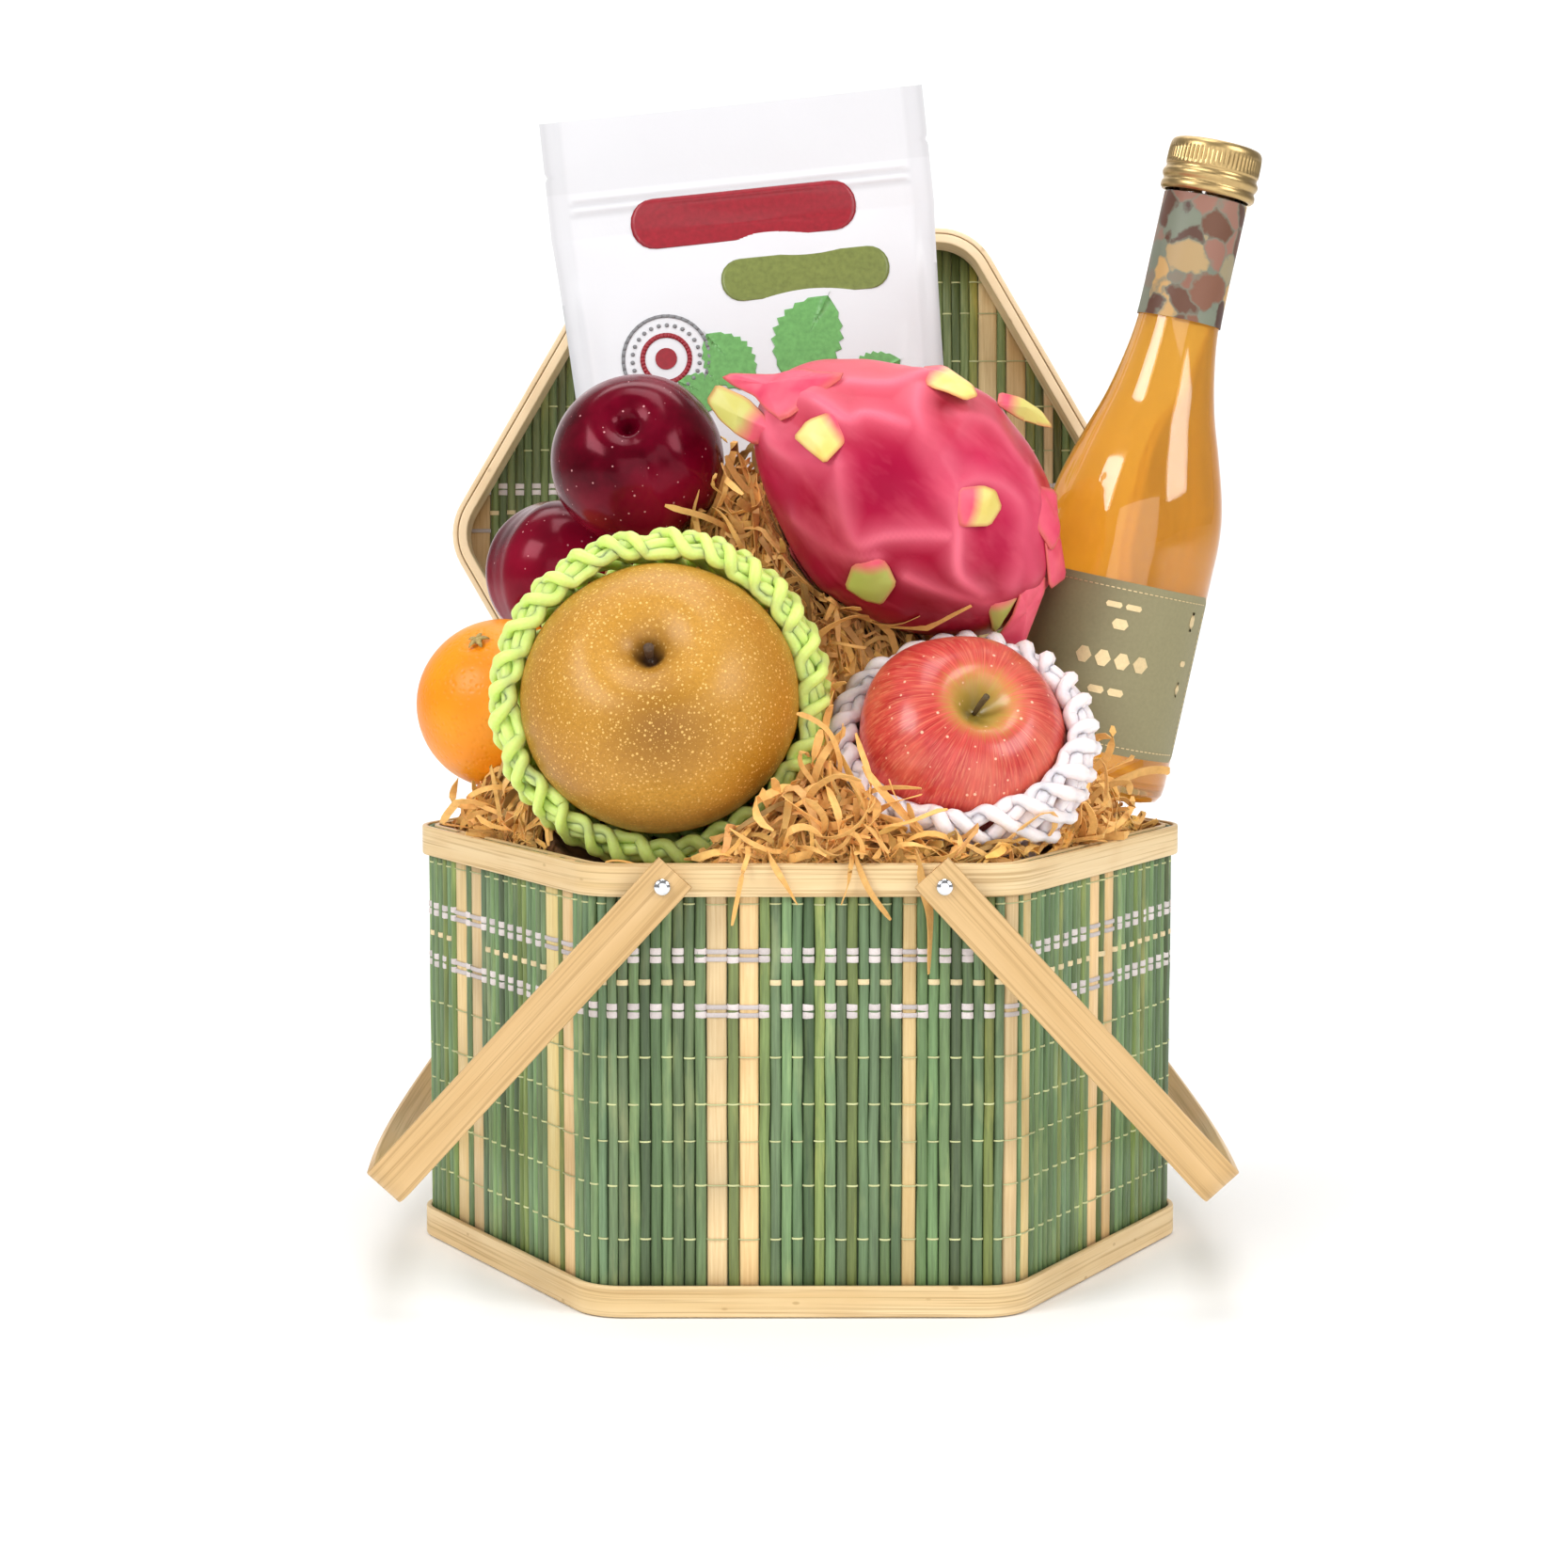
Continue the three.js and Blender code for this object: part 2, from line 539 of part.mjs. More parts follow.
const capTop = bottle.height;
const capLow = capTop - cap.height;
const capProfile = [[0, capTop - cap.wall], [14.7, capTop - cap.wall], [14.7, capLow + GAP],
  [cap.radius - 0.8, capLow + GAP], [cap.radius, capLow + 1.2], [cap.radius, capLow + 5.5],
  [cap.radius - 1.4, capLow + 7], [cap.radius - 0.5, capLow + 8], [cap.radius - 0.5, capTop - 1.5],
  [cap.radius - 2, capTop], [0, capTop]];
place("bottle_cap", turned(capProfile, bottle.sides), material.gold, bottleGroup);

// A thin sheet wrapped on the bottle, its edges on the bottle's own facets
function wrap(radius, thick, from, to, low, high) {
  const step = (2 * Math.PI) / bottle.sides;
  const arc = (r) => Array.from({ length: to - from + 1 }, (_, i) => {
    const a = -Math.PI / 2 + (from + i) * step;
    return new THREE.Vector2(r * Math.cos(a), r * Math.sin(a));
  });
  return extrude([...arc(radius + thick), ...arc(radius).reverse()], low, high);
}
const labelSheet = wrap(bottle.radius + bottleLabel.stand, bottleLabel.thick, bottleLabel.from,
  bottleLabel.to, bottleLabel.low, bottleLabel.high);
place("bottle_label", labelSheet, material.labelPaper, bottleGroup);
const neckProfile = [[16.1, 198], [16.6, neckLabel.low], [17, neckLabel.low], [16.5, 198],
  [16.5, neckLabel.high], [16.1, neckLabel.high], [16.1, 198]];
place("neck_label", turned(neckProfile, bottle.sides), material.neckPaper, bottleGroup);

// Pouch: a filled stand-up bag, swollen below and flat at its sealed top and sides

function pouchGeometry(grow = 0) {
  const columns = 8;
  const rows = 10;
  const rings = rows + 2;
  const swell = (v) => (v < 0.78 ? Math.cos((Math.max(v - 0.12, -0.12) / 0.66) * (Math.PI / 2)) ** 0.8 : 0);
  return skin(rings, 2 * columns, (t, angle) => {
    const row = Math.round(t * rings);
    const v = 1 - Math.min(Math.max((row - 1) / rows, 0), 1);
    const pole = row === 0 || row === rings;
    const u = pole ? 0 : Math.cos(angle);
    const depth = pouch.seal + 2 * grow + (pouch.thick - pouch.seal) * swell(v) * (1 - u ** 2) ** 0.75;
    const face = pole || Math.abs(Math.sin(angle)) < 1e-9 ? 0 : Math.sign(Math.sin(angle));
    const end = row <= 1 ? grow : 0;
    return [u * ((pouch.width - pouch.waist * swell(v)) / 2 + grow), (face * depth) / 2,
      v * pouch.height + (row > rows ? -grow : end)];
  });
}

function setPouch(object) {
  object.position.set(...pouch.at);
  object.rotation.set(pouch.lean * DEG, pouch.tilt * DEG, 0);
  return object;
}
setPouch(place("pouch", pouchGeometry(), material.film));

// Shreds: a mound that fills the basket and rises between the fruit, with strips fused on

function heapHeight(x, y) {
  const dx = x - heap.x;
  const dy = y - heap.y;
  const wide = dx < 0 ? heap.left : heap.right;
  const deep = dy < 0 ? heap.front : heap.back;
  return heap.base + heap.peak * Math.exp(-0.5 * ((dx / wide) ** 2 + (dy / deep) ** 2));
}

function moundGeometry() {
  const rings = 7;
  const sectors = 30;
  const outline = inset(basket, innerFace + 2, 4);
  const floor = board.thickness + GAP;
  return skin(rings + 2, sectors, (t, angle) => {
    const row = Math.round(t * (rings + 2));
    const i = Math.round((angle / (2 * Math.PI)) * sectors) % sectors;
    if (row === rings + 2) return [0, 0, floor];
    const share = Math.min(row / rings, 1);
    const rim = outline[i];
    const x = rim.x * share;
    const y = rim.y * share;
    const ripple = share < 1 ? 3 * Math.sin(x * 0.16 + 1) * Math.cos(y * 0.14) : 0;
    return [x, y, row > rings ? floor : heapHeight(x, y) + ripple];
  });
}

// What the shreds lie against: spheres of [centre, radius] for the fruit and its nets
const dragonBalls = [-0.5, -0.25, 0, 0.25, 0.5].map((s) => {
  const shift = new THREE.Vector3(...dragon.axis).normalize().multiplyScalar(s * dragon.long);
  const at = dragon.at.map((value, k) => value + shift.getComponent(k));
  return { at, radius: dragon.round - 9 * Math.abs(2 * s) };
});
const bottleAxis = [Math.sin(bottle.tilt * DEG), 0, Math.cos(bottle.tilt * DEG)];
const bottleBalls = [6, 30, 54, 78, 100].map((s) =>
  ({ at: bottle.at.map((value, k) => value + s * bottleAxis[k]), radius: bottle.radius + 3 }));
const balls = [
  { at: pear.at, radius: pearNet.rim + 1 },
  { at: apple.at, radius: appleNet.rim + 1 },
  ...plums.map(({ at, radius }) => ({ at, radius: radius + 0.6 })),
  { at: orange.at, radius: orange.radius + 0.6 },
  ...bottleBalls,
];

function pocketGeometry({ at, radius }) {
  const sides = 10;
  const grown = radius / Math.cos(Math.PI / sides) ** 2;
  return new THREE.SphereGeometry(grown, sides, sides - 2).rotateX(90 * DEG).translate(...at);
}

// A flat ribbon through its points, width across the given direction
function ribbonGeometry(points, width, thick) {
  const positions = [];
  const index = [];
  points.forEach((point, i) => {
    const ahead = points[Math.min(i + 1, points.length - 1)].clone();
    const along = ahead.sub(points[Math.max(i - 1, 0)]).normalize();
    const across = new THREE.Vector3().crossVectors(along, UP).normalize();
    const normal = new THREE.Vector3().crossVectors(across, along);
    for (const [a, b] of [[-1, -1], [1, -1], [1, 1], [-1, 1]]) {
      positions.push(...point.clone().addScaledVector(across, (a * width) / 2)
        .addScaledVector(normal, (b * thick) / 2));
    }
    if (i === 0) return;
    const now = 4 * i;
    for (let k = 0; k < 4; k += 1) {
      const next = (k + 1) % 4;
      index.push(now - 4 + k, now - 4 + next, now + next, now - 4 + k, now + next, now + k);
    }
  });
  const last = 4 * (points.length - 1);
  index.push(0, 3, 2, 0, 2, 1, last, last + 1, last + 2, last, last + 2, last + 3);
  const geometry = new THREE.BufferGeometry();
  geometry.setAttribute("position", new THREE.Float32BufferAttribute(positions, 3));
  geometry.setIndex(index);
  return geometry;
}

// Patches of the mound that show between the fruit: centre and spread
const shredPatches = [
  { x: 6, y: -100, rx: 24, ry: 18 }, { x: -6, y: -8, rx: 26, ry: 24 }, { x: -118, y: -34, rx: 18, ry: 24 },
  { x: 112, y: -30, rx: 20, ry: 22 }, { x: -60, y: 96, rx: 60, ry: 18 }, { x: 60, y: 92, rx: 40, ry: 22 },
  { x: -20, y: -40, rx: 20, ry: 24 }, { x: 0, y: -75, rx: 10, ry: 20 },
];

const pouchBand = { from: 42, to: 100, half: 90 };

// A point clear of the fruit, the pouch and the inner rim
function isClear(p) {
  const side = Math.max(Math.abs(p.y), Math.abs(p.x) * 0.866 + Math.abs(p.y) * 0.5);
  const inPouch = p.y > pouchBand.from && p.y < pouchBand.to && Math.abs(p.x - pouch.at[0]) < pouchBand.half;
  return side < 116 && !inPouch && [...balls, ...dragonBalls].every(({ at, radius }) =>
    p.distanceTo(new THREE.Vector3(...at)) > radius + 3.5);
}

// Ribbons that arch out of the mound and back, clear of the fruit and of one another
function shredRibbons() {
  const random = seeded(shred.seed);
  const steps = [0, 0.17, 0.33, 0.5, 0.67, 0.83, 1];
  const taken = [];
  const ribbons = [];
  for (let tries = 0; ribbons.length < shred.count && tries < 12000; tries += 1) {
    const patch = shredPatches[tries % shredPatches.length];
    const x = patch.x + patch.rx * (2 * random() - 1);
    const y = patch.y + patch.ry * (2 * random() - 1);
    const heading = 2 * Math.PI * random();
    const curl = (random() - 0.5) * 2.4;
    const length = 14 + 16 * random();
    const arch = 11 + 8 * random();
    const path = steps.map((s) => {
      const a = heading + curl * s;
      const px = x + length * (s - 0.5) * Math.cos(a);
      const py = y + length * (s - 0.5) * Math.sin(a);
      return new THREE.Vector3(px, py, heapHeight(px, py) - 7 + arch * Math.sin(Math.PI * s));
    });
    const apart = (p) => taken.every((other) => other.distanceTo(p) > 1.5 * shred.width);
    if (!path.every((p) => isClear(p) && apart(p))) continue;
    taken.push(...path);
    ribbons.push(ribbonGeometry([path[0], path[2], path[4], path[6]], shred.width, shred.thick));
  }
  return ribbons;
}

function shredSolid() {
  const pouchShape = new THREE.Mesh(pouchGeometry(0.8));
  setPouch(pouchShape).updateMatrix();
  const dragonShape = new THREE.Mesh(dragonMesh.geometry.clone());
  dragonShape.position.copy(dragonMesh.position);
  dragonShape.quaternion.copy(dragonMesh.quaternion);
  dragonShape.scale.setScalar(1.03);
  dragonShape.updateMatrix();
  const pockets = [...balls.map((ball) => pocketGeometry(ball)),
    ...[pouchShape, dragonShape].map((shape) => shape.geometry.applyMatrix4(shape.matrix))];
  const mound = pockets.reduce((body, pocket) => body.subtract(toSolid(pocket)), toSolid(moundGeometry()));
  return largestPiece(shredRibbons().reduce((body, ribbon) => body.add(toSolid(ribbon)), mound));
}
place("shreds", toGeometry(shredSolid()), material.shreds);

export default model;
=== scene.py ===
"""Fruit hamper: a slatted bamboo basket with an open lid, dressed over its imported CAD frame."""

import math

import bmesh
import bpy
import numpy as np
from mathutils import Matrix, Vector
from mathutils.noise import noise


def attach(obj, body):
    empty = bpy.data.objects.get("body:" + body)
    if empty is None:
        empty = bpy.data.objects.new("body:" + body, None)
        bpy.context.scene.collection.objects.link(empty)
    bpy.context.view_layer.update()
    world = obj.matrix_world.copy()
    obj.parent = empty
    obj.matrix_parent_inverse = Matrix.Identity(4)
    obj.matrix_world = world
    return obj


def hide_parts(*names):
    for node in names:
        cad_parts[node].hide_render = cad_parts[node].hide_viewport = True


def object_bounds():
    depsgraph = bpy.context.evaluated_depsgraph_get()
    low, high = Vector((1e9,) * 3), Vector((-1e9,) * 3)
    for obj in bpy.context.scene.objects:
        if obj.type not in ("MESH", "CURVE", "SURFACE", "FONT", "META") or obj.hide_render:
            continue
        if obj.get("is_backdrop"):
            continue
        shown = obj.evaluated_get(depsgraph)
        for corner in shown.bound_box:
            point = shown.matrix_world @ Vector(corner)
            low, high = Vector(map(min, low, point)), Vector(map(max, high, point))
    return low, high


bl_info = {
    "name": "Fruit Hamper",
    "version": (1, 0, 0),
    "blender": (4, 5, 0),
    "location": "View3D > Sidebar > Hamper",
    "description": "Builds a fruit hamper's visible pieces over its CAD frame",
    "category": "Add Mesh",
}

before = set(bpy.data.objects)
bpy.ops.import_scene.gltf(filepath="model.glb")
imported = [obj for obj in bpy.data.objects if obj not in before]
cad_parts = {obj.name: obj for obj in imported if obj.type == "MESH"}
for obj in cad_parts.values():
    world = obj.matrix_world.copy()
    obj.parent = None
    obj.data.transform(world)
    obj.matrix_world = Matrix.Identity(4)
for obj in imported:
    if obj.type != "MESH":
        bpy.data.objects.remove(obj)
CAD_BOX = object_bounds()

# Sizes in metres and angles in degrees. They repeat the CAD model, apart from round, which is how
# far a slat's face swells, pitch, from slat to slat, and margin, the bare edge of the lid's panel

BASKET = {"apothem": 0.1316, "corner": 0.02, "height": 0.1633, "rim": 0.0114, "base": 0.0113}
BAND = 0.0022
INNER_BAND = {"outside": 0.0048, "inside": 0.0068}
MAT = {"apothem": 0.1291, "corner": BASKET["corner"] - 0.0025, "round": 0.0012, "thick": 0.0019}
# A dark sheet inside the wall's slats, painted shade seen through the gaps between them
SHADE_SHEET = {"apothem": 0.1274, "corner": 0.0158, "low": 0.0008, "high": 0.1625, "thick": 0.0003}
LID = {"apothem": 0.137, "corner": 0.027, "low": 0.1636, "high": 0.1876, "ledge": 0.1841,
       "panel": (0.1844, 0.1868), "inset": 0.0026, "round": 0.0008, "pitch": 0.0039, "margin": 0.0008}
LID_RING = {"outside": 0.0025, "inside": 0.0065}
HINGE = Vector((0, 0.13895, 0.138))
LID_OPEN = (Matrix.Translation(HINGE) @ Matrix.Rotation(math.radians(-96), 4, "X")
            @ Matrix.Translation(-HINGE))
HANDLE = {"x": 0.0495, "z": 0.1567, "rest": 47.4, "length": 0.1465, "bow": 0.0115, "tail": 0.0067,
          "bend": 0.007, "inner": 0.1373, "thick": 0.003, "width": 0.016}

# Turned parts at each handle's foot. The head has its gap to the handle, the radii of its flat and
# of its dome, and the heights of its edge, dome and middle. The others are (radius, distance from
# the basket's middle) pairs
RIVET_HEAD = {"play": 0.0003, "flat": 0.003, "radius": 0.0031, "edge": 0.0004, "dome": 0.0016, "top": 0.0021}
RIVET_SHANK = ((0, 0.1229), (0.0029, 0.1229), (0.0029, 0.1242), (0.0016, 0.1242))
SPACER = ((0, 0.1319), (0.0049, 0.1319), (0.0051, 0.1322), (0.0051, 0.1367), (0.0049, 0.137), (0, 0.137))

PEAR = {"at": (-0.0523, -0.078, 0.2187), "radius": 0.0513, "half": 0.044, "axis": (-0.09, -0.83, 0.55)}
APPLE = {"at": (0.0589, -0.078, 0.2043), "radius": 0.0386, "half": 0.034, "axis": (0.22, -0.8, 0.56)}
PLUMS = (
    {"name": "plum_1", "at": (-0.0634, -0.005, 0.306), "radius": 0.0337, "half": 0.0315,
     "axis": (-0.1, -0.85, 0.5), "turn": 304},
    {"name": "plum_2", "at": (-0.095, 0.037, 0.26), "radius": 0.0316, "half": 0.0305,
     "axis": (0.35, 0.25, 0.9), "turn": 208},
)
ORANGE = {"at": (-0.117, 0.002, 0.2105), "radius": 0.0338, "half": 0.033, "axis": (-0.24, -0.56, 0.79)}
DRAGON = {"at": (0.0365, -0.029, 0.295), "long": 0.07, "short": 0.063, "round": 0.049, "slim": 0.27,
          "axis": (0.79, 0.08, -0.61)}
BOTTLE = {"at": (0.109, 0.008, 0.177), "tilt": 12, "radius": 0.0345}
POUCH = {"at": (-0.0049, 0.079, 0.2309), "height": 0.224, "width": 0.16, "waist": 0.009, "thick": 0.038,
         "seal": 0.0014, "tilt": -6, "lean": -4.5}
HEAP = {"base": 0.158, "peak": 0.133, "x": -0.005, "y": 0.015, "left": 0.075, "right": 0.056,
        "front": 0.048, "back": 0.062}


# Small mesh tools: every shape is made as numpy arrays of points and lists of faces

class Soup:
    """Points, faces and tints of one piece, gathered part by part."""

    def __init__(self):
        self.points = []
        self.faces = []
        self.tints = []
        self.count = 0

    def add(self, points, faces, tint=(1, 1, 1)):
        points = np.asarray(points, float).reshape(-1, 3)
        self.points.append(points)
        self.tints.append(np.broadcast_to(np.asarray(tint, float), (len(points), 3)))
        self.faces.extend([tuple(i + self.count for i in face) for face in faces])
        self.count += len(points)
        return self

    def moved(self, matrix):
        turn = np.array(matrix.to_3x3())
        shift = np.array(matrix.translation)
        self.points = [points @ turn.T + shift for points in self.points]
        return self


def grid_faces(rows, cols, wrap=False, start=0):
    """Quads of a grid of points, its columns joined round when wrap is set."""
    faces = []
    for j in range(rows - 1):
        for i in range(cols if wrap else cols - 1):
            k = (i + 1) % cols
            faces.append((start + j * cols + i, start + j * cols + k,
                          start + (j + 1) * cols + k, start + (j + 1) * cols + i))
    return faces


def tube_faces(rows, cols, capped=True):
    """Faces of a closed tube of rings, with a flat cap on each end."""
    faces = grid_faces(rows, cols, wrap=True)
    if capped:
        faces.append(tuple(range(cols))[::-1])
        faces.append(tuple(range((rows - 1) * cols, rows * cols)))
    return faces


def close_ends(count, tip, ring, far_tip, far_ring):
    """Triangles from one tip to its ring of points and, turned about, from the other tip to its own."""
    faces = []
    for i in range(count):
        k = (i + 1) % count
        faces.append((tip, ring + i, ring + k))
        faces.append((far_tip, far_ring + k, far_ring + i))
    return faces


def circle(count):
    """Angles of so many equal steps round a circle."""
    return np.arange(count) * 2 * math.pi / count


def unit(v):
    v = np.asarray(v, float)
    return v / np.maximum(np.linalg.norm(v, axis=-1, keepdims=True), 1e-12)


def sweep(path, across, outward, profile, closed=False):
    """A profile of (across, outward) pairs carried along a path."""
    path, profile = np.asarray(path, float), np.asarray(profile, float)
    across, outward = (np.broadcast_to(np.asarray(a, float), path.shape) for a in (across, outward))
    points = path[:, None] + across[:, None] * profile[None, :, :1] + outward[:, None] * profile[None, :, 1:]
    rows, cols = len(path), len(profile)
    faces = tube_faces(rows, cols, capped=not closed)
    if closed:
        last = (rows - 1) * cols
        faces += [(last + i, last + (i + 1) % cols, (i + 1) % cols, i) for i in range(cols)]
    return points.reshape(-1, 3), faces


def rounded(x0, x1, y0, y1, r, steps=2):
    """Corners of a rounded rectangle as (x, y) pairs, anticlockwise."""
    out = []
    for cx, cy, start in ((x1 - r, y0 + r, -90), (x1 - r, y1 - r, 0),
                          (x0 + r, y1 - r, 90), (x0 + r, y0 + r, 180)):
        for i in range(steps + 1):
            a = math.radians(start + 90 * i / steps)
            out.append((cx + r * math.cos(a), cy + r * math.sin(a)))
    return out


def round_tube(path, radius, sides=8, squash=1.0):
    """A tube round a path of points; radius may change along it, and the ends are flat."""
    path = np.asarray(path, float)
    radius = np.broadcast_to(np.asarray(radius, float), (len(path),)).copy()
    along = unit(np.gradient(path, axis=0))
    side = np.cross(along[0], (0.0, 0.0, 1.0))
    if np.linalg.norm(side) < 0.1:
        side = np.cross(along[0], (1.0, 0.0, 0.0))
    sideways = []
    for direction in along:
        side = unit(side - direction * side.dot(direction))
        sideways.append(side)
    sideways = np.array(sideways)
    ups = np.cross(along, sideways)
    a = circle(sides)
    ring = sideways[:, None] * np.cos(a)[None, :, None] + ups[:, None] * np.sin(a)[None, :, None] * squash
    points = path[:, None] + ring * radius[:, None, None]
    return points.reshape(-1, 3), tube_faces(len(path), sides)


def skin(rings, sectors, point):
    """A closed skin between two poles; point(t, angle) takes arrays and gives points."""
    t, a = np.meshgrid(np.arange(1, rings) / rings, circle(sectors), indexing="ij")
    body = point(t, a).reshape(-1, 3)
    ends = point(np.array([0.0, 1.0]), np.array([0.0, 0.0]))
    faces = [face[::-1] for face in grid_faces(rings - 1, sectors, wrap=True)]
    faces += close_ends(sectors, len(body), 0, len(body) + 1, (rings - 2) * sectors)
    return np.vstack([body, ends]), faces


def lathe(profile, sides):
    """A turned piece from (radius, z) pairs that start and end on the axis."""
    inner = np.array(profile[1:-1], float)
    a = circle(sides)
    body = np.stack([inner[:, :1] * np.cos(a), inner[:, :1] * np.sin(a),
                     np.broadcast_to(inner[:, 1:], (len(inner), sides))], -1).reshape(-1, 3)
    ends = [(0, 0, profile[0][1]), (0, 0, profile[-1][1])]
    faces = grid_faces(len(inner), sides, wrap=True)
    faces += close_ends(sides, len(body) + 1, (len(inner) - 1) * sides, len(body), 0)
    return np.vstack([body, ends]), faces


def smooth_curve(points, steps):
    """Catmull-Rom points through the given ones."""
    p = np.asarray(points, float)
    p = np.vstack([2 * p[0] - p[1], p, 2 * p[-1] - p[-2]])
    out = []
    for i in range(1, len(p) - 2):
        for s in np.arange(steps) / steps:
            a, b, c, d = p[i - 1:i + 3]
            out.append(0.5 * (2 * b + (c - a) * s + (2 * a - 5 * b + 4 * c - d) * s ** 2
                              + (3 * b - a - 3 * c + d) * s ** 3))
    out.append(p[-2])
    return np.array(out)


def pose(item):
    """The matrix that stands local +Z on an item's axis at its place."""
    turn = Vector((0, 0, 1)).rotation_difference(Vector(item["axis"]))
    return Matrix.Translation(item["at"]) @ turn.to_matrix().to_4x4()


def hex_walk(apothem, corner):
    """Length of the walk round a rounded hexagon, the walk itself, and lengths that follow its form.

    The walk gives points and outward normals at lengths along it. Zero is the middle of the
    front face, and lengths grow towards +X."""
    half = (apothem - corner) * math.tan(math.radians(30))
    side = 2 * half + corner * math.pi / 3

    def at(t):
        t = np.asarray(t, float)
        k = np.floor(t / side + 0.5)
        u = t - k * side
        face = np.radians(60 * k - 90)
        turn = face + np.copysign(np.maximum(np.abs(u) - half, 0) / max(corner, 1e-9), u)
        along = np.clip(u, -half, half)
        centre = np.stack([np.cos(face) * (apothem - corner) - np.sin(face) * along,
                           np.sin(face) * (apothem - corner) + np.cos(face) * along], -1)
        normal = np.stack([np.cos(turn), np.sin(turn)], -1)
        return centre + corner * normal, normal

    stops = []
    for k in range(6):
        stops += [k * side + s for s in np.linspace(-half, half, 7)]
        stops += [k * side + half + corner * math.pi / 3 * s / 8 for s in range(1, 8)]
    return 6 * side, at, np.array(stops)


def hex_band(apothem, corner, profile):
    """A closed band round a hexagon from a profile of (outward, z) pairs."""
    _, at, stops = hex_walk(apothem, corner)
    flat, normal = at(stops)
    path = np.column_stack([flat, np.zeros(len(flat))])
    out = np.column_stack([normal, np.zeros(len(flat))])
    return sweep(path, out, (0, 0, 1), profile, closed=True)


def rng(seed):
    """Random draws that come out the same each time."""
    return np.random.default_rng(seed)


# Materials: a short way to write shader nodes

class Look:
    """A node material built up from its Principled shader."""

    def __init__(self, name, roughness=0.5, metallic=0.0, **inputs):
        self.material = bpy.data.materials.new(name)
        self.material.use_nodes = True
        self.nodes = self.material.node_tree.nodes
        self.links = self.material.node_tree.links
        self.shader = self.nodes["Principled BSDF"]
        self.set(Roughness=roughness, Metallic=metallic, **inputs)

    def set(self, **inputs):
        for name, value in inputs.items():
            socket = self.shader.inputs[name.replace("_", " ")]
            if isinstance(value, bpy.types.NodeSocket):
                self.links.new(value, socket)
            else:
                socket.default_value = value

    def node(self, kind, inputs=(), **props):
        node = self.nodes.new("ShaderNode" + kind)
        for key, value in props.items():
            setattr(node, key, value)
        for key, value in dict(inputs).items():
            if isinstance(value, bpy.types.NodeSocket):
                self.links.new(value, node.inputs[key])
            else:
                node.inputs[key].default_value = value
        return node

    def place(self, matrix=None, scale=(1, 1, 1)):
        """Object coordinates, or those of the local frame that a matrix gives."""
        vector = self.node("TexCoord").outputs["Object"]
        if matrix is not None:
            spot, turn, _ = matrix.decompose()
            vector = self.node("Mapping", {"Vector": vector, "Location": spot, "Rotation": turn.to_euler()},
                               vector_type="TEXTURE").outputs[0]
        return self.node("Mapping", {"Vector": vector, "Scale": scale}).outputs[0]

    def noise(self, vector, scale, detail=2.0, rough=0.5):
        inputs = {"Vector": vector, "Scale": scale, "Detail": detail, "Roughness": rough}
        return self.node("TexNoise", inputs).outputs["Fac"]

    def voronoi(self, vector, scale, output="Distance", feature="F1"):
        return self.node("TexVoronoi", {"Vector": vector, "Scale": scale}, feature=feature).outputs[output]

    def math(self, operation, a, b):
        return self.node("Math", {0: a, 1: b}, operation=operation).outputs[0]

    def span(self, value, low, high, to_low=0.0, to_high=1.0):
        return self.node("MapRange", {0: value, 1: low, 2: high, 3: to_low, 4: to_high}).outputs[0]

    def mix(self, factor, a, b, blend="MIX"):
        a, b = ((*c, 1) if isinstance(c, tuple) and len(c) == 3 else c for c in (a, b))
        node = self.node("Mix", {0: factor, 6: a, 7: b}, data_type="RGBA", blend_type=blend)
        return node.outputs[2]

    def blend(self, noise, a, b):
        """From a to b over the middle range of a noise."""
        return self.mix(self.span(noise, 0.3, 0.7), a, b)

    def over(self, tone, mask, share, color):
        """A colour laid over a tone, by a share of the mask."""
        return self.mix(self.math("MULTIPLY", mask, share), tone, color)

    def ramp(self, value, *stops):
        node = self.node("ValToRGB", {0: value})
        ramp = node.color_ramp
        while len(ramp.elements) < len(stops):
            ramp.elements.new(0.5)
        for element, (place, color) in zip(ramp.elements, stops):
            element.position = place
            element.color = (*color, 1)
        return node.outputs[0]

    def tint(self):
        return self.node("VertexColor", layer_name="tint").outputs[0]

    def tinted(self, tone):
        """A tone multiplied by the tint that each part of the piece has of its own."""
        return self.mix(1.0, tone, self.tint(), "MULTIPLY")

    def bump(self, height, strength=0.3, distance=0.0005):
        bump = self.node("Bump", {"Height": height, "Strength": strength, "Distance": distance})
        self.set(Normal=bump.outputs[0])


LOOKS = {}


def look(name, make, *values, **more):
    """The material of that name, made once from the values given."""
    if name not in LOOKS:
        LOOKS[name] = make(name, *values, **more).material
    return LOOKS[name]


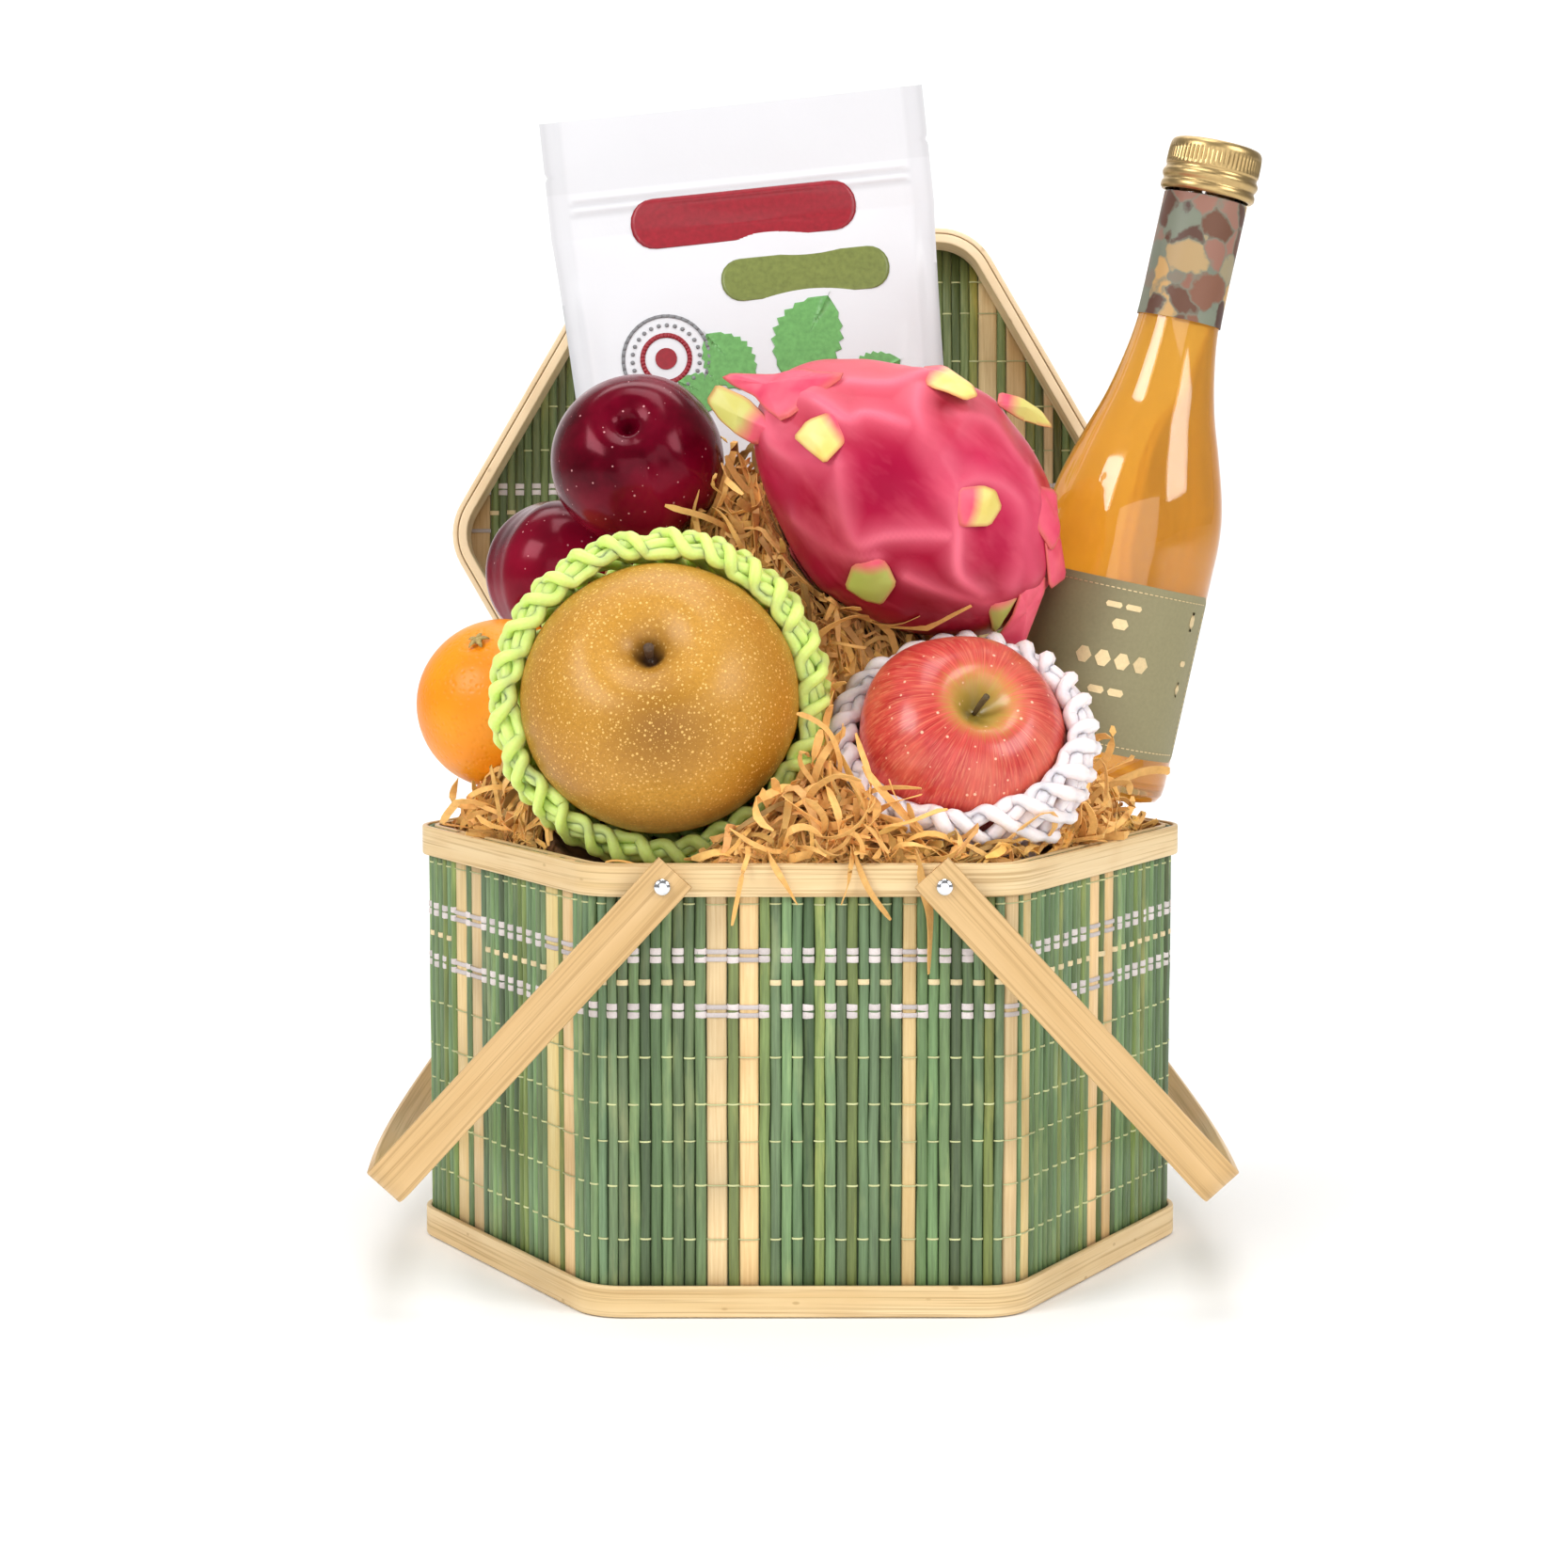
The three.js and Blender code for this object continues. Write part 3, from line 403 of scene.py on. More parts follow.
def grow_piece(name, soup, material, nodes=(), body="basket", even=False, sharp=None,
               closed=True):
    """Turns a Soup into a shaded object that rides a body and stands for its CAD nodes.

    Faces of closed pieces are turned outwards. Even weighs the shading by the size of the
    faces, and sharp is the angle from which edges stay crisp."""
    mesh = bpy.data.meshes.new(name)
    points = np.vstack(soup.points)
    mesh.from_pydata(points, [], soup.faces)
    if closed:
        shape = bmesh.new()
        shape.from_mesh(mesh)
        bmesh.ops.recalc_face_normals(shape, faces=shape.faces)
        shape.to_mesh(mesh)
        shape.free()
    tint = mesh.color_attributes.new("tint", "FLOAT_COLOR", "POINT")
    rgba = np.ones((len(points), 4), np.float32)
    rgba[:, :3] = np.vstack(soup.tints)
    tint.data.foreach_set("color", rgba.ravel())
    mesh.materials.append(material)
    mesh.shade_smooth()
    if sharp:
        mesh.set_sharp_from_angle(angle=math.radians(sharp))
    mesh.update()
    piece = bpy.data.objects.new(name, mesh)
    bpy.context.scene.collection.objects.link(piece)
    if even:
        piece.modifiers.new("even_shade", "WEIGHTED_NORMAL").keep_sharp = True
    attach(piece, body)
    if nodes:
        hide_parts(*nodes)


# Looks

def make_bamboo(name, matrix=None, color=(0.7, 0.49, 0.23), pale=(0.82, 0.63, 0.36),
                dark=(0.42, 0.25, 0.09)):
    """Split bamboo: long fine fibres across local Z, soft blotches and a few dark specks."""
    m = Look(name, 0.46, Specular_IOR_Level=0.4)
    fine = m.noise(m.place(matrix, (10, 10, 1050)), 1.0, 3, 0.6)
    broad = m.noise(m.place(matrix, (5, 5, 160)), 1.0, 2)
    blotch = m.noise(m.place(matrix, (30, 30, 60)), 1.0, 3)
    tone = m.mix(m.span(broad, 0.3, 0.72), color, pale)
    tone = m.mix(m.span(blotch, 0.5, 0.9, 0, 0.5), tone, (0.62, 0.38, 0.15))
    fibre = m.span(fine, 0.5, 0.66)
    tone = m.over(tone, fibre, 0.62, dark)
    speck = m.voronoi(m.place(matrix, (60, 60, 130)), 1.0)
    tone = m.mix(m.span(speck, 0.05, 0.1, 0.55, 0), tone, dark)
    m.set(Base_Color=tone, Roughness=m.span(fine, 0.3, 0.8, 0.38, 0.6))
    m.bump(fine, 0.25, 0.0004)
    return m


def make_slat(name, greens, along=(140, 140, 6)):
    """Dyed or bare split slats: each takes its own tint, with streaks along it and worn spots."""
    m = Look(name, 0.48, Specular_IOR_Level=0.45)
    place = m.place(None, along)
    streak = m.noise(place, 8.0, 3, 0.6)
    wear = m.noise(m.place(None, (90, 90, 22)), 1.0, 4, 0.6)
    tone = m.blend(streak, greens[0], greens[1])
    tone = m.mix(m.span(wear, 0.55, 0.8, 0, 0.75), tone, greens[2])
    m.set(Base_Color=m.tinted(tone))
    m.bump(streak, 0.3, 0.0003)
    return m


def make_plain(name, color, roughness=0.5, metallic=0.0, scale=300, depth=0.12):
    """A plain surface with a little mottling, and each part's own tint."""
    m = Look(name, roughness, metallic)
    mottle = m.noise(m.place(), scale, 3)
    tone = m.blend(mottle, tuple(c * (1 - depth) for c in color), color)
    m.set(Base_Color=m.tinted(tone))
    m.bump(mottle, 0.15, 0.0002)
    return m


def thread_look():
    return look("thread", make_plain, (1, 1, 1), 0.6, scale=2500)


# Basket wall: green and pale slats, with the threads that bind them

# Pale slats of the wall: start and end in millimetres from the middle of the front, towards +X
PALE_SPANS = ((-34.5, -26.9), (-22.9, -15.7), (35.2, 40.5), (72.5, 79.3), (81.6, 88.7), (139.8, 148.3),
              (153.4, 161.2), (222, 230), (234, 242), (292, 300), (304, 312), (366, 374), (378, 386),
              (440, 448), (452, 460), (514, 522), (526, 534), (590, 598), (602, 610), (648, 655),
              (-191.9, -182), (-177.6, -168), (-112.5, -102.3), (-98.6, -90.2))
# Levels in metres at which each wall slat bends and changes its shade a little
SLAT_LEVELS = (0.0008, 0.028, 0.0475, 0.0635, 0.077, 0.094, 0.1107, 0.121, 0.1306, 0.149, 0.1627)
# Half of the gap between two slats, and how far a stitch stands off them
SLAT_GAP = 0.00012
STITCH_LIFT = 0.00006
# Colours of the threads
SILVER = (0.72, 0.64, 0.62)
STRAW = (0.82, 0.66, 0.38)
THIN = (0.62, 0.64, 0.32)
# Rows of stitches on the wall: level, height, whether the even or the odd slats are bound, colour
THREAD_ROWS = ((0.149, 0.0006, 0, THIN), (0.1321, 0.0024, 1, SILVER), (0.1292, 0.0024, 1, SILVER),
               (0.121, 0.002, 0, STRAW), (0.1121, 0.0024, 1, SILVER), (0.1092, 0.0024, 1, SILVER),
               (0.094, 0.0007, 0, THIN), (0.077, 0.0007, 1, THIN), (0.0635, 0.0006, 0, THIN),
               (0.0475, 0.0007, 1, THIN), (0.028, 0.0007, 0, THIN))


def split_round(spans, length, pitch):
    """Fills a run of a given length with pale spans and green slats of about one pitch."""
    pale = sorted((a * 0.001 % length, b * 0.001 % length) for a, b in spans)
    slats = []
    for i, (start, end) in enumerate(pale):
        slats.append((start, end, True))
        after = pale[(i + 1) % len(pale)][0] + (length if i + 1 == len(pale) else 0)
        count = max(round((after - end) / pitch), 1)
        for k in range(count):
            slats.append((end + (after - end) * k / count, end + (after - end) * (k + 1) / count, False))
    return slats


def crest(f, flat):
    """Height of a slat's face at fraction f of its half width: round for a slat, flat for a strip."""
    f = np.abs(f)
    return np.where(flat, 1 - f ** 10, np.sqrt(np.maximum(1 - f ** 2, 0)) ** 0.9)


def slat_points(surface, slat, levels, sway, press, height, fractions):
    """Points of one slat; surface(across, level) gives a point on the mat and its outward normal."""
    start, end, pale = slat
    middle, half = (start + end) / 2, (end - start) / 2 - SLAT_GAP
    t = middle + fractions[None, :] * half + sway[:, None]
    rise = height * (crest(fractions, pale)[None, :] - 1) + press[:, None]
    spot, normal = surface(t, np.broadcast_to(levels[:, None], t.shape))
    return spot + normal * rise[..., None]


def slat_soup(surface, slats, levels, seed, height, depth, both=False):
    """All slats of a mat, each a closed strip with a round or flat face."""
    rand = rng(seed)
    soups = {False: Soup(), True: Soup()}
    levels = np.array(levels)
    front = np.array([-1, -0.86, -0.55, -0.2, 0.2, 0.55, 0.86, 1])
    for i, slat in enumerate(slats):
        pale = slat[2]
        k = len(levels)
        sway = rand.normal(0, 0.00016, k) + rand.normal(0, 0.0001)
        press = rand.normal(0, 0.00008, k) + (0.0001 if i % 2 else -0.0001)
        if pale:
            sway, press = sway * 0.3, press * 0.3 - 0.0003
        face = slat_points(surface, slat, levels, sway, press, height, front)
        turned_back = front[::-1] if both else np.array([1.0, -1.0])
        half = (slat[1] - slat[0]) / 2 - SLAT_GAP
        t = (slat[0] + slat[1]) / 2 + turned_back[None, :] * half + sway[:, None]
        spot, normal = surface(t, np.broadcast_to(levels[:, None], t.shape))
        drop = depth - (height * (1 - crest(turned_back, pale)) if both else 0)
        rear = spot - normal * (np.broadcast_to(drop, t.shape) - press[:, None])[..., None]
        ring = np.concatenate([face, rear], 1)
        tone = rand.uniform(0.84, 1.04) if pale else rand.uniform(0.62, 1.16)
        tints = tone * rand.uniform((0.92, 0.96, 0.86), (1.08, 1.03, 1.1))
        if not pale and rand.random() < 0.18:
            tints = tints * (1.3, 1.12, 0.75)
        if not pale and rand.random() < 0.16:
            tints = tints * 0.66
        shade = np.repeat((1 + rand.normal(0, 0.08, k))[:, None], ring.shape[1], 1).reshape(-1, 1)
        soups[pale].add(ring.reshape(-1, 3), tube_faces(k, ring.shape[1]), tints[None, :] * shade)
    return soups[False], soups[True]


def thread_soup(surface, slats, rows, seed, height, side=1, drop=0.0):
    """The stitches: in each row, a small pad of thread over every second green slat.

    Pale slats have one in every row that isn't of straw. Side is 1 for the mat's face and -1
    for its back, which lies drop behind."""
    rand = rng(seed)
    soup = Soup()
    f = np.array([-1.05, -0.8, -0.4, 0, 0.4, 0.8, 1.05])
    v = np.array([-0.5, -0.36, 0.36, 0.5])
    for z, tall, parity, color in rows:
        for i, slat in enumerate(slats):
            pale = slat[2]
            if not pale and i % 2 != parity:
                continue
            if pale and color is STRAW:
                continue
            half = (slat[1] - slat[0]) / 2
            t = (slat[0] + slat[1]) / 2 + f[None, :] * half + np.zeros((4, 1))
            level = z + v[:, None] * tall * (0.7 if pale else 1) + rand.normal(0, 0.0001) + np.zeros((1, 7))
            lift = np.array([0.0, 1.0, 1.0, 0.0])[:, None] * min(0.00028, tall * 0.4)
            rise = height * (crest(np.clip(f, -1, 1), pale)[None, :] - 1) + lift + STITCH_LIFT
            spot, normal = surface(t, level)
            stand = rise if side > 0 else -drop - rise
            points = spot + normal * stand[..., None]
            turned = np.cross(spot[0, 1] - spot[0, 0], spot[1, 0] - spot[0, 0]).dot(normal[0, 0]) * side < 0
            faces = [face[::-1] for face in grid_faces(4, 7)] if turned else grid_faces(4, 7)
            tone = rand.uniform(0.85, 1.1) * (0.8 if pale else 1)
            soup.add(points.reshape(-1, 3), faces, np.array(color) * tone)
    return soup


def build_wall():
    length, at, _ = hex_walk(MAT["apothem"], MAT["corner"])

    def surface(t, z):
        flat, normal = at(t)
        return np.dstack([flat, z]), np.dstack([normal, np.zeros_like(z)])

    slats = split_round(PALE_SPANS, length, sizes().slat_pitch)
    dyed, pale = slat_soup(surface, slats, SLAT_LEVELS, 5, MAT["round"], MAT["thick"])
    green = chosen("green_slat")
    greens = (tuple(c * 0.6 for c in green), green, (0.4, 0.47, 0.2))
    green_look = look("green_slats", make_slat, greens)
    pale_look = look("pale_slats", make_slat, ((0.68, 0.46, 0.21), (0.8, 0.6, 0.31), (0.86, 0.69, 0.42)))
    grow_piece("wall_green_slats", dyed, green_look, ["slat_wall"])
    grow_piece("wall_pale_slats", pale, pale_look, ["slat_wall"])
    threads = thread_soup(surface, slats, THREAD_ROWS, 6, MAT["round"])
    grow_piece("wall_threads", threads, thread_look(), ["slat_wall"], closed=False)
    # A dark sheet inside the slats: painted shade in the gaps between them
    sheet = rounded(-SHADE_SHEET["thick"], 0, SHADE_SHEET["low"], SHADE_SHEET["high"], 0.0001, 1)
    shade_sheet = Soup().add(*hex_band(SHADE_SHEET["apothem"], SHADE_SHEET["corner"], sheet))
    dark = look("wall_lining", make_plain, (0.05, 0.075, 0.03), 0.8)
    grow_piece("wall_lining", shade_sheet, dark, ["slat_wall"], sharp=40)


def build_rims():
    bamboo = look("bamboo", make_bamboo)
    low, high = BASKET["height"] - BASKET["rim"], BASKET["height"]
    inner = rounded(-INNER_BAND["inside"], -INNER_BAND["outside"], low, high, 0.0005)
    for name, profile, node in (
        ("rim_outer", rounded(-BAND, 0, low, high, 0.0006), "rim_band"),
        ("rim_inner", inner, "rim_band_inner"),
        ("base_hoop", rounded(-BAND, 0, 0, BASKET["base"], 0.0006), "base_band"),
    ):
        soup = Soup().add(*hex_band(BASKET["apothem"], BASKET["corner"], profile))
        grow_piece(name, soup, bamboo, [node], even=True)
    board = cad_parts["base_board"].data.materials
    board.clear()
    board.append(look("board", make_bamboo, None, (0.62, 0.42, 0.2)))


def handle_line():
    """Centre line of a handle in its own plane: distance down the arms, and across the basket."""
    centre = HANDLE["inner"] + HANDLE["thick"] / 2
    end, bend = HANDLE["length"], HANDLE["bend"]
    half = [(s, -centre) for s in np.linspace(-HANDLE["tail"], end - bend, 14)]
    half += [(end - bend + bend * math.cos(a), -centre + bend + bend * math.sin(a))
             for a in np.radians(np.linspace(-90, -8, 9))[1:]]
    span = centre - bend
    bow = [(end + HANDLE["bow"] * math.cos(t * math.pi / 2), span * t) for t in np.linspace(-1, 1, 41)[1:-1]]
    return np.array(half + bow + [(s, -t) for s, t in half[::-1]])


def build_handles():
    line = handle_line()
    along = unit(np.gradient(line, axis=0))
    for name, side in (("right", 1), ("left", -1)):
        a = math.radians(HANDLE["rest"])
        down = np.array([side * math.cos(a), 0, -math.sin(a)])
        wide = np.array([side * math.sin(a), 0, math.cos(a)])
        y = np.array([0.0, 1.0, 0.0])
        pivot = np.array([side * HANDLE["x"], 0, HANDLE["z"]])
        path = pivot + line[:, :1] * down + line[:, 1:] * y
        out = along[:, 1:] * down - along[:, :1] * y
        w, t = HANDLE["width"] / 2, HANDLE["thick"] / 2
        points, faces = sweep(path, wide, out, rounded(-w, w, -t, t, 0.0007, 3))
        if side < 0:
            faces = [face[::-1] for face in faces]
        turn = Matrix.Rotation(math.radians(side * HANDLE["rest"]), 4, "Y")
        bamboo = look(f"bamboo_{name}", make_bamboo, turn, (0.58, 0.365, 0.15), (0.72, 0.49, 0.24))
        soup = Soup().add(points, faces)
        grow_piece(f"{name}_strip", soup, bamboo, [f"handle_{name}"], f"{name}_handle", even=True)
    head = HANDLE["inner"] + HANDLE["thick"] + RIVET_HEAD["play"]
    dome = [(0, head), (RIVET_HEAD["flat"], head)]
    dome += [(RIVET_HEAD["radius"] * math.cos(a),
              head + RIVET_HEAD["edge"] + RIVET_HEAD["dome"] * math.sin(a)) for a in np.linspace(0, 1.3, 8)]
    dome.append((0, head + RIVET_HEAD["top"]))
    shank = [*RIVET_SHANK, (RIVET_SHANK[-1][0], head + 0.0002), (0, head + 0.0002)]
    rivets, spacers = Soup(), Soup()
    turned = ((rivets, lathe(dome, 32)), (rivets, lathe(shank, 16)), (spacers, lathe(SPACER, 24)))
    for x in (-HANDLE["x"], HANDLE["x"]):
        for face in (-1, 1):
            place = (Matrix.Translation((x, 0, HANDLE["z"]))
                     @ Matrix.Rotation(math.radians(90 - 90 * face), 4, "Z")
                     @ Matrix.Rotation(math.radians(-90), 4, "X"))
            for soup, (points, faces) in turned:
                soup.add(Soup().add(points, faces).moved(place).points[0], faces)
    corners = [f"{face}_{side}" for face in ("front", "back") for side in ("left", "right")]
    chrome = look("chrome", make_plain, (0.82, 0.83, 0.86), 0.14, 1.0, 900, 0.05)
    bamboo = look("bamboo", make_bamboo)
    grow_piece("rivets", rivets, chrome, [f"rivet_{c}" for c in corners], sharp=50)
    grow_piece("spacers", spacers, bamboo, [f"spacer_{c}" for c in corners], sharp=50)


# Lid: made shut, then carried to its open place

def make_brass(name):
    m = Look(name, 0.32, 1.0)
    wear = m.noise(m.place(), 700, 3)
    m.set(Base_Color=m.blend(wear, (0.5, 0.36, 0.15), (0.66, 0.49, 0.22)),
          Roughness=m.span(wear, 0.3, 0.7, 0.26, 0.42))
    m.bump(wear, 0.15, 0.0002)
    return m


# Pale slats of the lid: start and end in millimetres from its middle, towards +X
LID_SPANS = ((-149.4, -139), (-82, -73), (-69, -60), (-8, 0), (4, 12), (40, 46), (82.4, 91), (95, 104),
             (112, 116.5))
# Rows of stitches on the lid, as on the wall, but the level is measured along Y while it is shut
LID_ROWS = ((-0.116, 0.0007, 0, THIN), (-0.1019, 0.0007, 1, THIN), (-0.0802, 0.0007, 0, THIN),
            (-0.0596, 0.0007, 1, THIN), (-0.0396, 0.0007, 0, THIN), (-0.0235, 0.0024, 1, SILVER),
            (-0.0205, 0.0024, 1, SILVER), (-0.0114, 0.002, 0, STRAW), (-0.003, 0.0024, 1, SILVER),
            (0.0202, 0.0007, 0, THIN), (0.04, 0.0007, 1, THIN), (0.065, 0.0007, 0, THIN),
            (0.09, 0.0007, 1, THIN), (0.115, 0.0007, 0, THIN))


def build_lid():
    # Lighter than the rim's bamboo: painted light on the lid's hoop, which lies in shade
    colors = ((0.88, 0.66, 0.4), (0.95, 0.78, 0.54), (0.56, 0.37, 0.18))
    bamboo = look("bamboo_lid", make_bamboo, LID_OPEN, *colors)
    hoop = rounded(-BAND, 0, LID["low"], LID["high"], 0.0006)
    inner = rounded(-LID_RING["inside"], -LID_RING["outside"], LID["low"], LID["ledge"], 0.0007)
    for name, profile, node in (("lid_hoop", hoop, "lid_band"), ("lid_hoop_inner", inner, "lid_band_inner")):
        band = Soup().add(*hex_band(LID["apothem"], LID["corner"], profile)).moved(LID_OPEN)
        grow_piece(name, band, bamboo, [node], "lid", even=True)

    length, at, _ = hex_walk(LID["apothem"] - LID["inset"], LID["corner"] - LID["inset"])
    edge = at(np.linspace(0, length, 720))[0]
    upper = edge[edge[:, 1] >= 0]
    upper = upper[np.argsort(upper[:, 0])]
    reach = upper[-1, 0]
    depth = LID["panel"][1] - LID["panel"][0]

    def surface(x, share):
        limit = np.interp(x, upper[:, 0], upper[:, 1], left=0.001, right=0.001)
        y = np.clip(share, -limit, limit)
        spot = np.dstack([x, y, np.full_like(x, LID["panel"][0])])
        return spot, np.broadcast_to(np.array([0.0, 0.0, -1.0]), spot.shape)

    spans = [(a * 0.001 + reach, b * 0.001 + reach) for a, b in LID_SPANS]
    slats, mark = [], LID["margin"]
    for start, end in spans + [(2 * reach - LID["margin"], None)]:
        run = start - mark
        count = max(round(run / LID["pitch"]), 1)
        slats += [(mark + run * k / count - reach, mark + run * (k + 1) / count - reach, False)
                  for k in range(count)]
        if end:
            slats.append((start - reach, end - reach, True))
            mark = end
    levels = np.linspace(-1, 1, 9) * 0.138
    green, pale = slat_soup(surface, slats, levels, 11, LID["round"], depth, both=True)
    greens = ((0.12, 0.17, 0.055), (0.23, 0.28, 0.105), (0.4, 0.38, 0.14))
    straws = ((0.6, 0.4, 0.19), (0.74, 0.54, 0.28), (0.8, 0.62, 0.36))
    olive = look("lid_slats", make_slat, greens, (140, 6, 6))
    straw = look("lid_pale", make_slat, straws, (140, 6, 6))
    grow_piece("lid_green_slats", green.moved(LID_OPEN), olive, ["lid_panel"], "lid")
    grow_piece("lid_pale_slats", pale.moved(LID_OPEN), straw, ["lid_panel"], "lid")
    # A dark sheet between the lid's two faces: painted shade in the gaps between its slats
    middle = sum(LID["panel"]) / 2
    sheet = np.vstack([np.column_stack([edge[:, :2] * 0.995, np.full(len(edge), middle + rise)])
                       for rise in (-0.0001, 0.0001)])
    shade_sheet = Soup().add(sheet, tube_faces(2, len(edge)))
    shade_backing = look("lid_lining", make_plain, (0.16, 0.17, 0.09), 0.8)
    grow_piece("lid_lining", shade_sheet.moved(LID_OPEN), shade_backing, ["lid_panel"], "lid", sharp=40)
    for name, side in (("inside", 1), ("outside", -1)):
        threads = thread_soup(surface, slats, LID_ROWS, 12, LID["round"], side, depth)
        points = np.vstack(threads.points)
        inside = np.abs(points[:, 1]) <= np.interp(points[:, 0], upper[:, 0], upper[:, 1]) - 0.0005
        threads.faces = [face for face in threads.faces if all(inside[i] for i in face)]
        grow_piece(f"lid_threads_{name}", threads.moved(LID_OPEN), thread_look(), ["lid_panel"],
                   "lid", closed=False)
    brass = look("brass", make_brass)
    for name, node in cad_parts.items():
        if "hinge" in name:
            node.data.materials.clear()
            node.data.materials.append(brass)


# Fruit: each is a turned skin in its own local frame, swollen, dimpled and roughened

def fruit_skin(item, rings, sectors, wells, lobes=0.0, suture=0.0, lump=0.0, seed=0.0):
    """A round fruit; wells are the (depth, radius) pairs that sink its top, and its foot less so.

    Lobes are the height of five bulges, suture the depth of a seam, and lump that of its dents."""
    matrix = pose(item)
    radius, half = item["radius"], item["half"]

    def point(t, angle):
        a = t * math.pi - 0.3 * np.sin(2 * math.pi * t)
        swell = 1 + lobes * np.cos(5 * angle) * np.sin(a)
        seam = 1 - suture * np.exp(-(((np.cos(angle - math.radians(item.get("turn", 0))) - 1) * 32) ** 2))
        r = radius * np.sin(a) * swell * seam
        well = sum(depth * np.exp(-((r / wide) ** 2)) for depth, wide in wells)
        z = half * np.cos(a) - np.where(t < 0.5, well, -0.4 * well)
        return np.stack([r * np.cos(angle), r * np.sin(angle), z], -1)

    points, faces = skin(rings, sectors, point)
    if lump:
        shift = np.array([noise(Vector(p) * 38 + Vector((seed, seed, 0))) for p in points])
        points = points * (1 + lump * shift)[:, None]
    return Soup().add(points, faces).moved(matrix), matrix


def specks(m, place, scale, size, amount=0.6):
    """Small dots of uneven size, on the share of cells that amount gives."""
    spot = m.voronoi(place, scale)
    pick = m.node("SeparateColor", {0: m.voronoi(place, scale, "Color")})
    width = m.span(pick.outputs[1], 0, 1, size * 0.5, size)
    dot = m.math("LESS_THAN", spot, width)
    soft = m.span(m.math("DIVIDE", spot, width), 0.55, 1.05, 1, 0)
    keep = m.math("LESS_THAN", pick.outputs[0], amount)
    return m.math("MULTIPLY", m.math("MULTIPLY", dot, keep), soft)


def radial(m, place, turns, drift):
    """A vector whose noise streaks from the stem down the sides, the way out from the axis, and height."""
    part = m.node("SeparateXYZ", {0: place})
    flat = m.node("CombineXYZ", {0: part.outputs[0], 1: part.outputs[1], 2: 0.0}).outputs[0]
    around = m.node("VectorMath", {0: flat}, operation="NORMALIZE").outputs[0]
    scaled = m.node("VectorMath", {0: around, 1: (turns, turns, turns)}, operation="MULTIPLY").outputs[0]
    lift = m.node("CombineXYZ", {2: m.math("MULTIPLY", part.outputs[2], drift)}).outputs[0]
    reach = m.node("VectorMath", {0: flat}, operation="LENGTH").outputs[1]
    return m.node("VectorMath", {0: scaled, 1: lift}, operation="ADD").outputs[0], reach, part.outputs[2]


def make_pear(name, matrix):
    m = Look(name, 0.4, Specular_IOR_Level=0.34)
    place = m.place(matrix)
    _, reach, height = radial(m, place, 4, 20)
    cloud = m.noise(place, 26, 3)
    fine = m.noise(place, 900, 2)
    tone = m.blend(cloud, (0.32, 0.126, 0.003), (0.46, 0.197, 0.009))
    # Lighter towards the stem end: painted light on its upper side
    tone = m.mix(m.span(height, -0.002, 0.04, 0, 0.7), tone, (0.64, 0.33, 0.05))
    # Lighter round its lower side: painted light where the lamps leave it in shade
    foot = m.node("VectorMath", {0: place, 1: (0.000, -0.06, 0.000)}, operation="DISTANCE").outputs[1]
    tone = m.mix(m.span(foot, 0.012, 0.042, 0.9, 0), tone, (0.78, 0.41, 0.075))
    russet = m.node("VectorMath", {0: place, 1: (0.003, -0.03, 0.03)}, operation="DISTANCE").outputs[1]
    tone = m.mix(m.span(russet, 0.002, 0.024, 0.95, 0), tone, (0.22, 0.083, 0.001))
    tone = m.mix(m.span(fine, 0.35, 0.7, 0, 0.35), tone, (0.3, 0.12, 0.012))
    big = specks(m, place, 600, 0.36, 1.0)
    small = specks(m, place, 1100, 0.32, 0.8)
    tone = m.over(tone, small, 0.65, (0.8, 0.5, 0.13))
    tone = m.over(tone, big, 0.8, (0.88, 0.56, 0.17))
    # Darker in the stem's hollow and darkest in its pit: painted shade in the recess
    painted_hollow_shade = m.math("MULTIPLY", m.span(reach, 0.005, 0.014, 0.45, 0), m.span(height, 0.0, 0.01))
    tone = m.mix(painted_hollow_shade, tone, (0.2, 0.085, 0.012))
    pit = m.math("MULTIPLY", m.span(reach, 0.0022, 0.0068, 1, 0), m.span(height, 0.0, 0.01))
    tone = m.mix(pit, tone, (0.05, 0.02, 0.006))
    m.set(Base_Color=tone, Roughness=m.span(big, 0, 1, 0.38, 0.6),
          Subsurface_Weight=0.05, Subsurface_Radius=(0.006, 0.003, 0.001))
    m.bump(m.math("ADD", big, m.math("MULTIPLY", fine, 0.4)), 0.12, 0.0002)
    return m


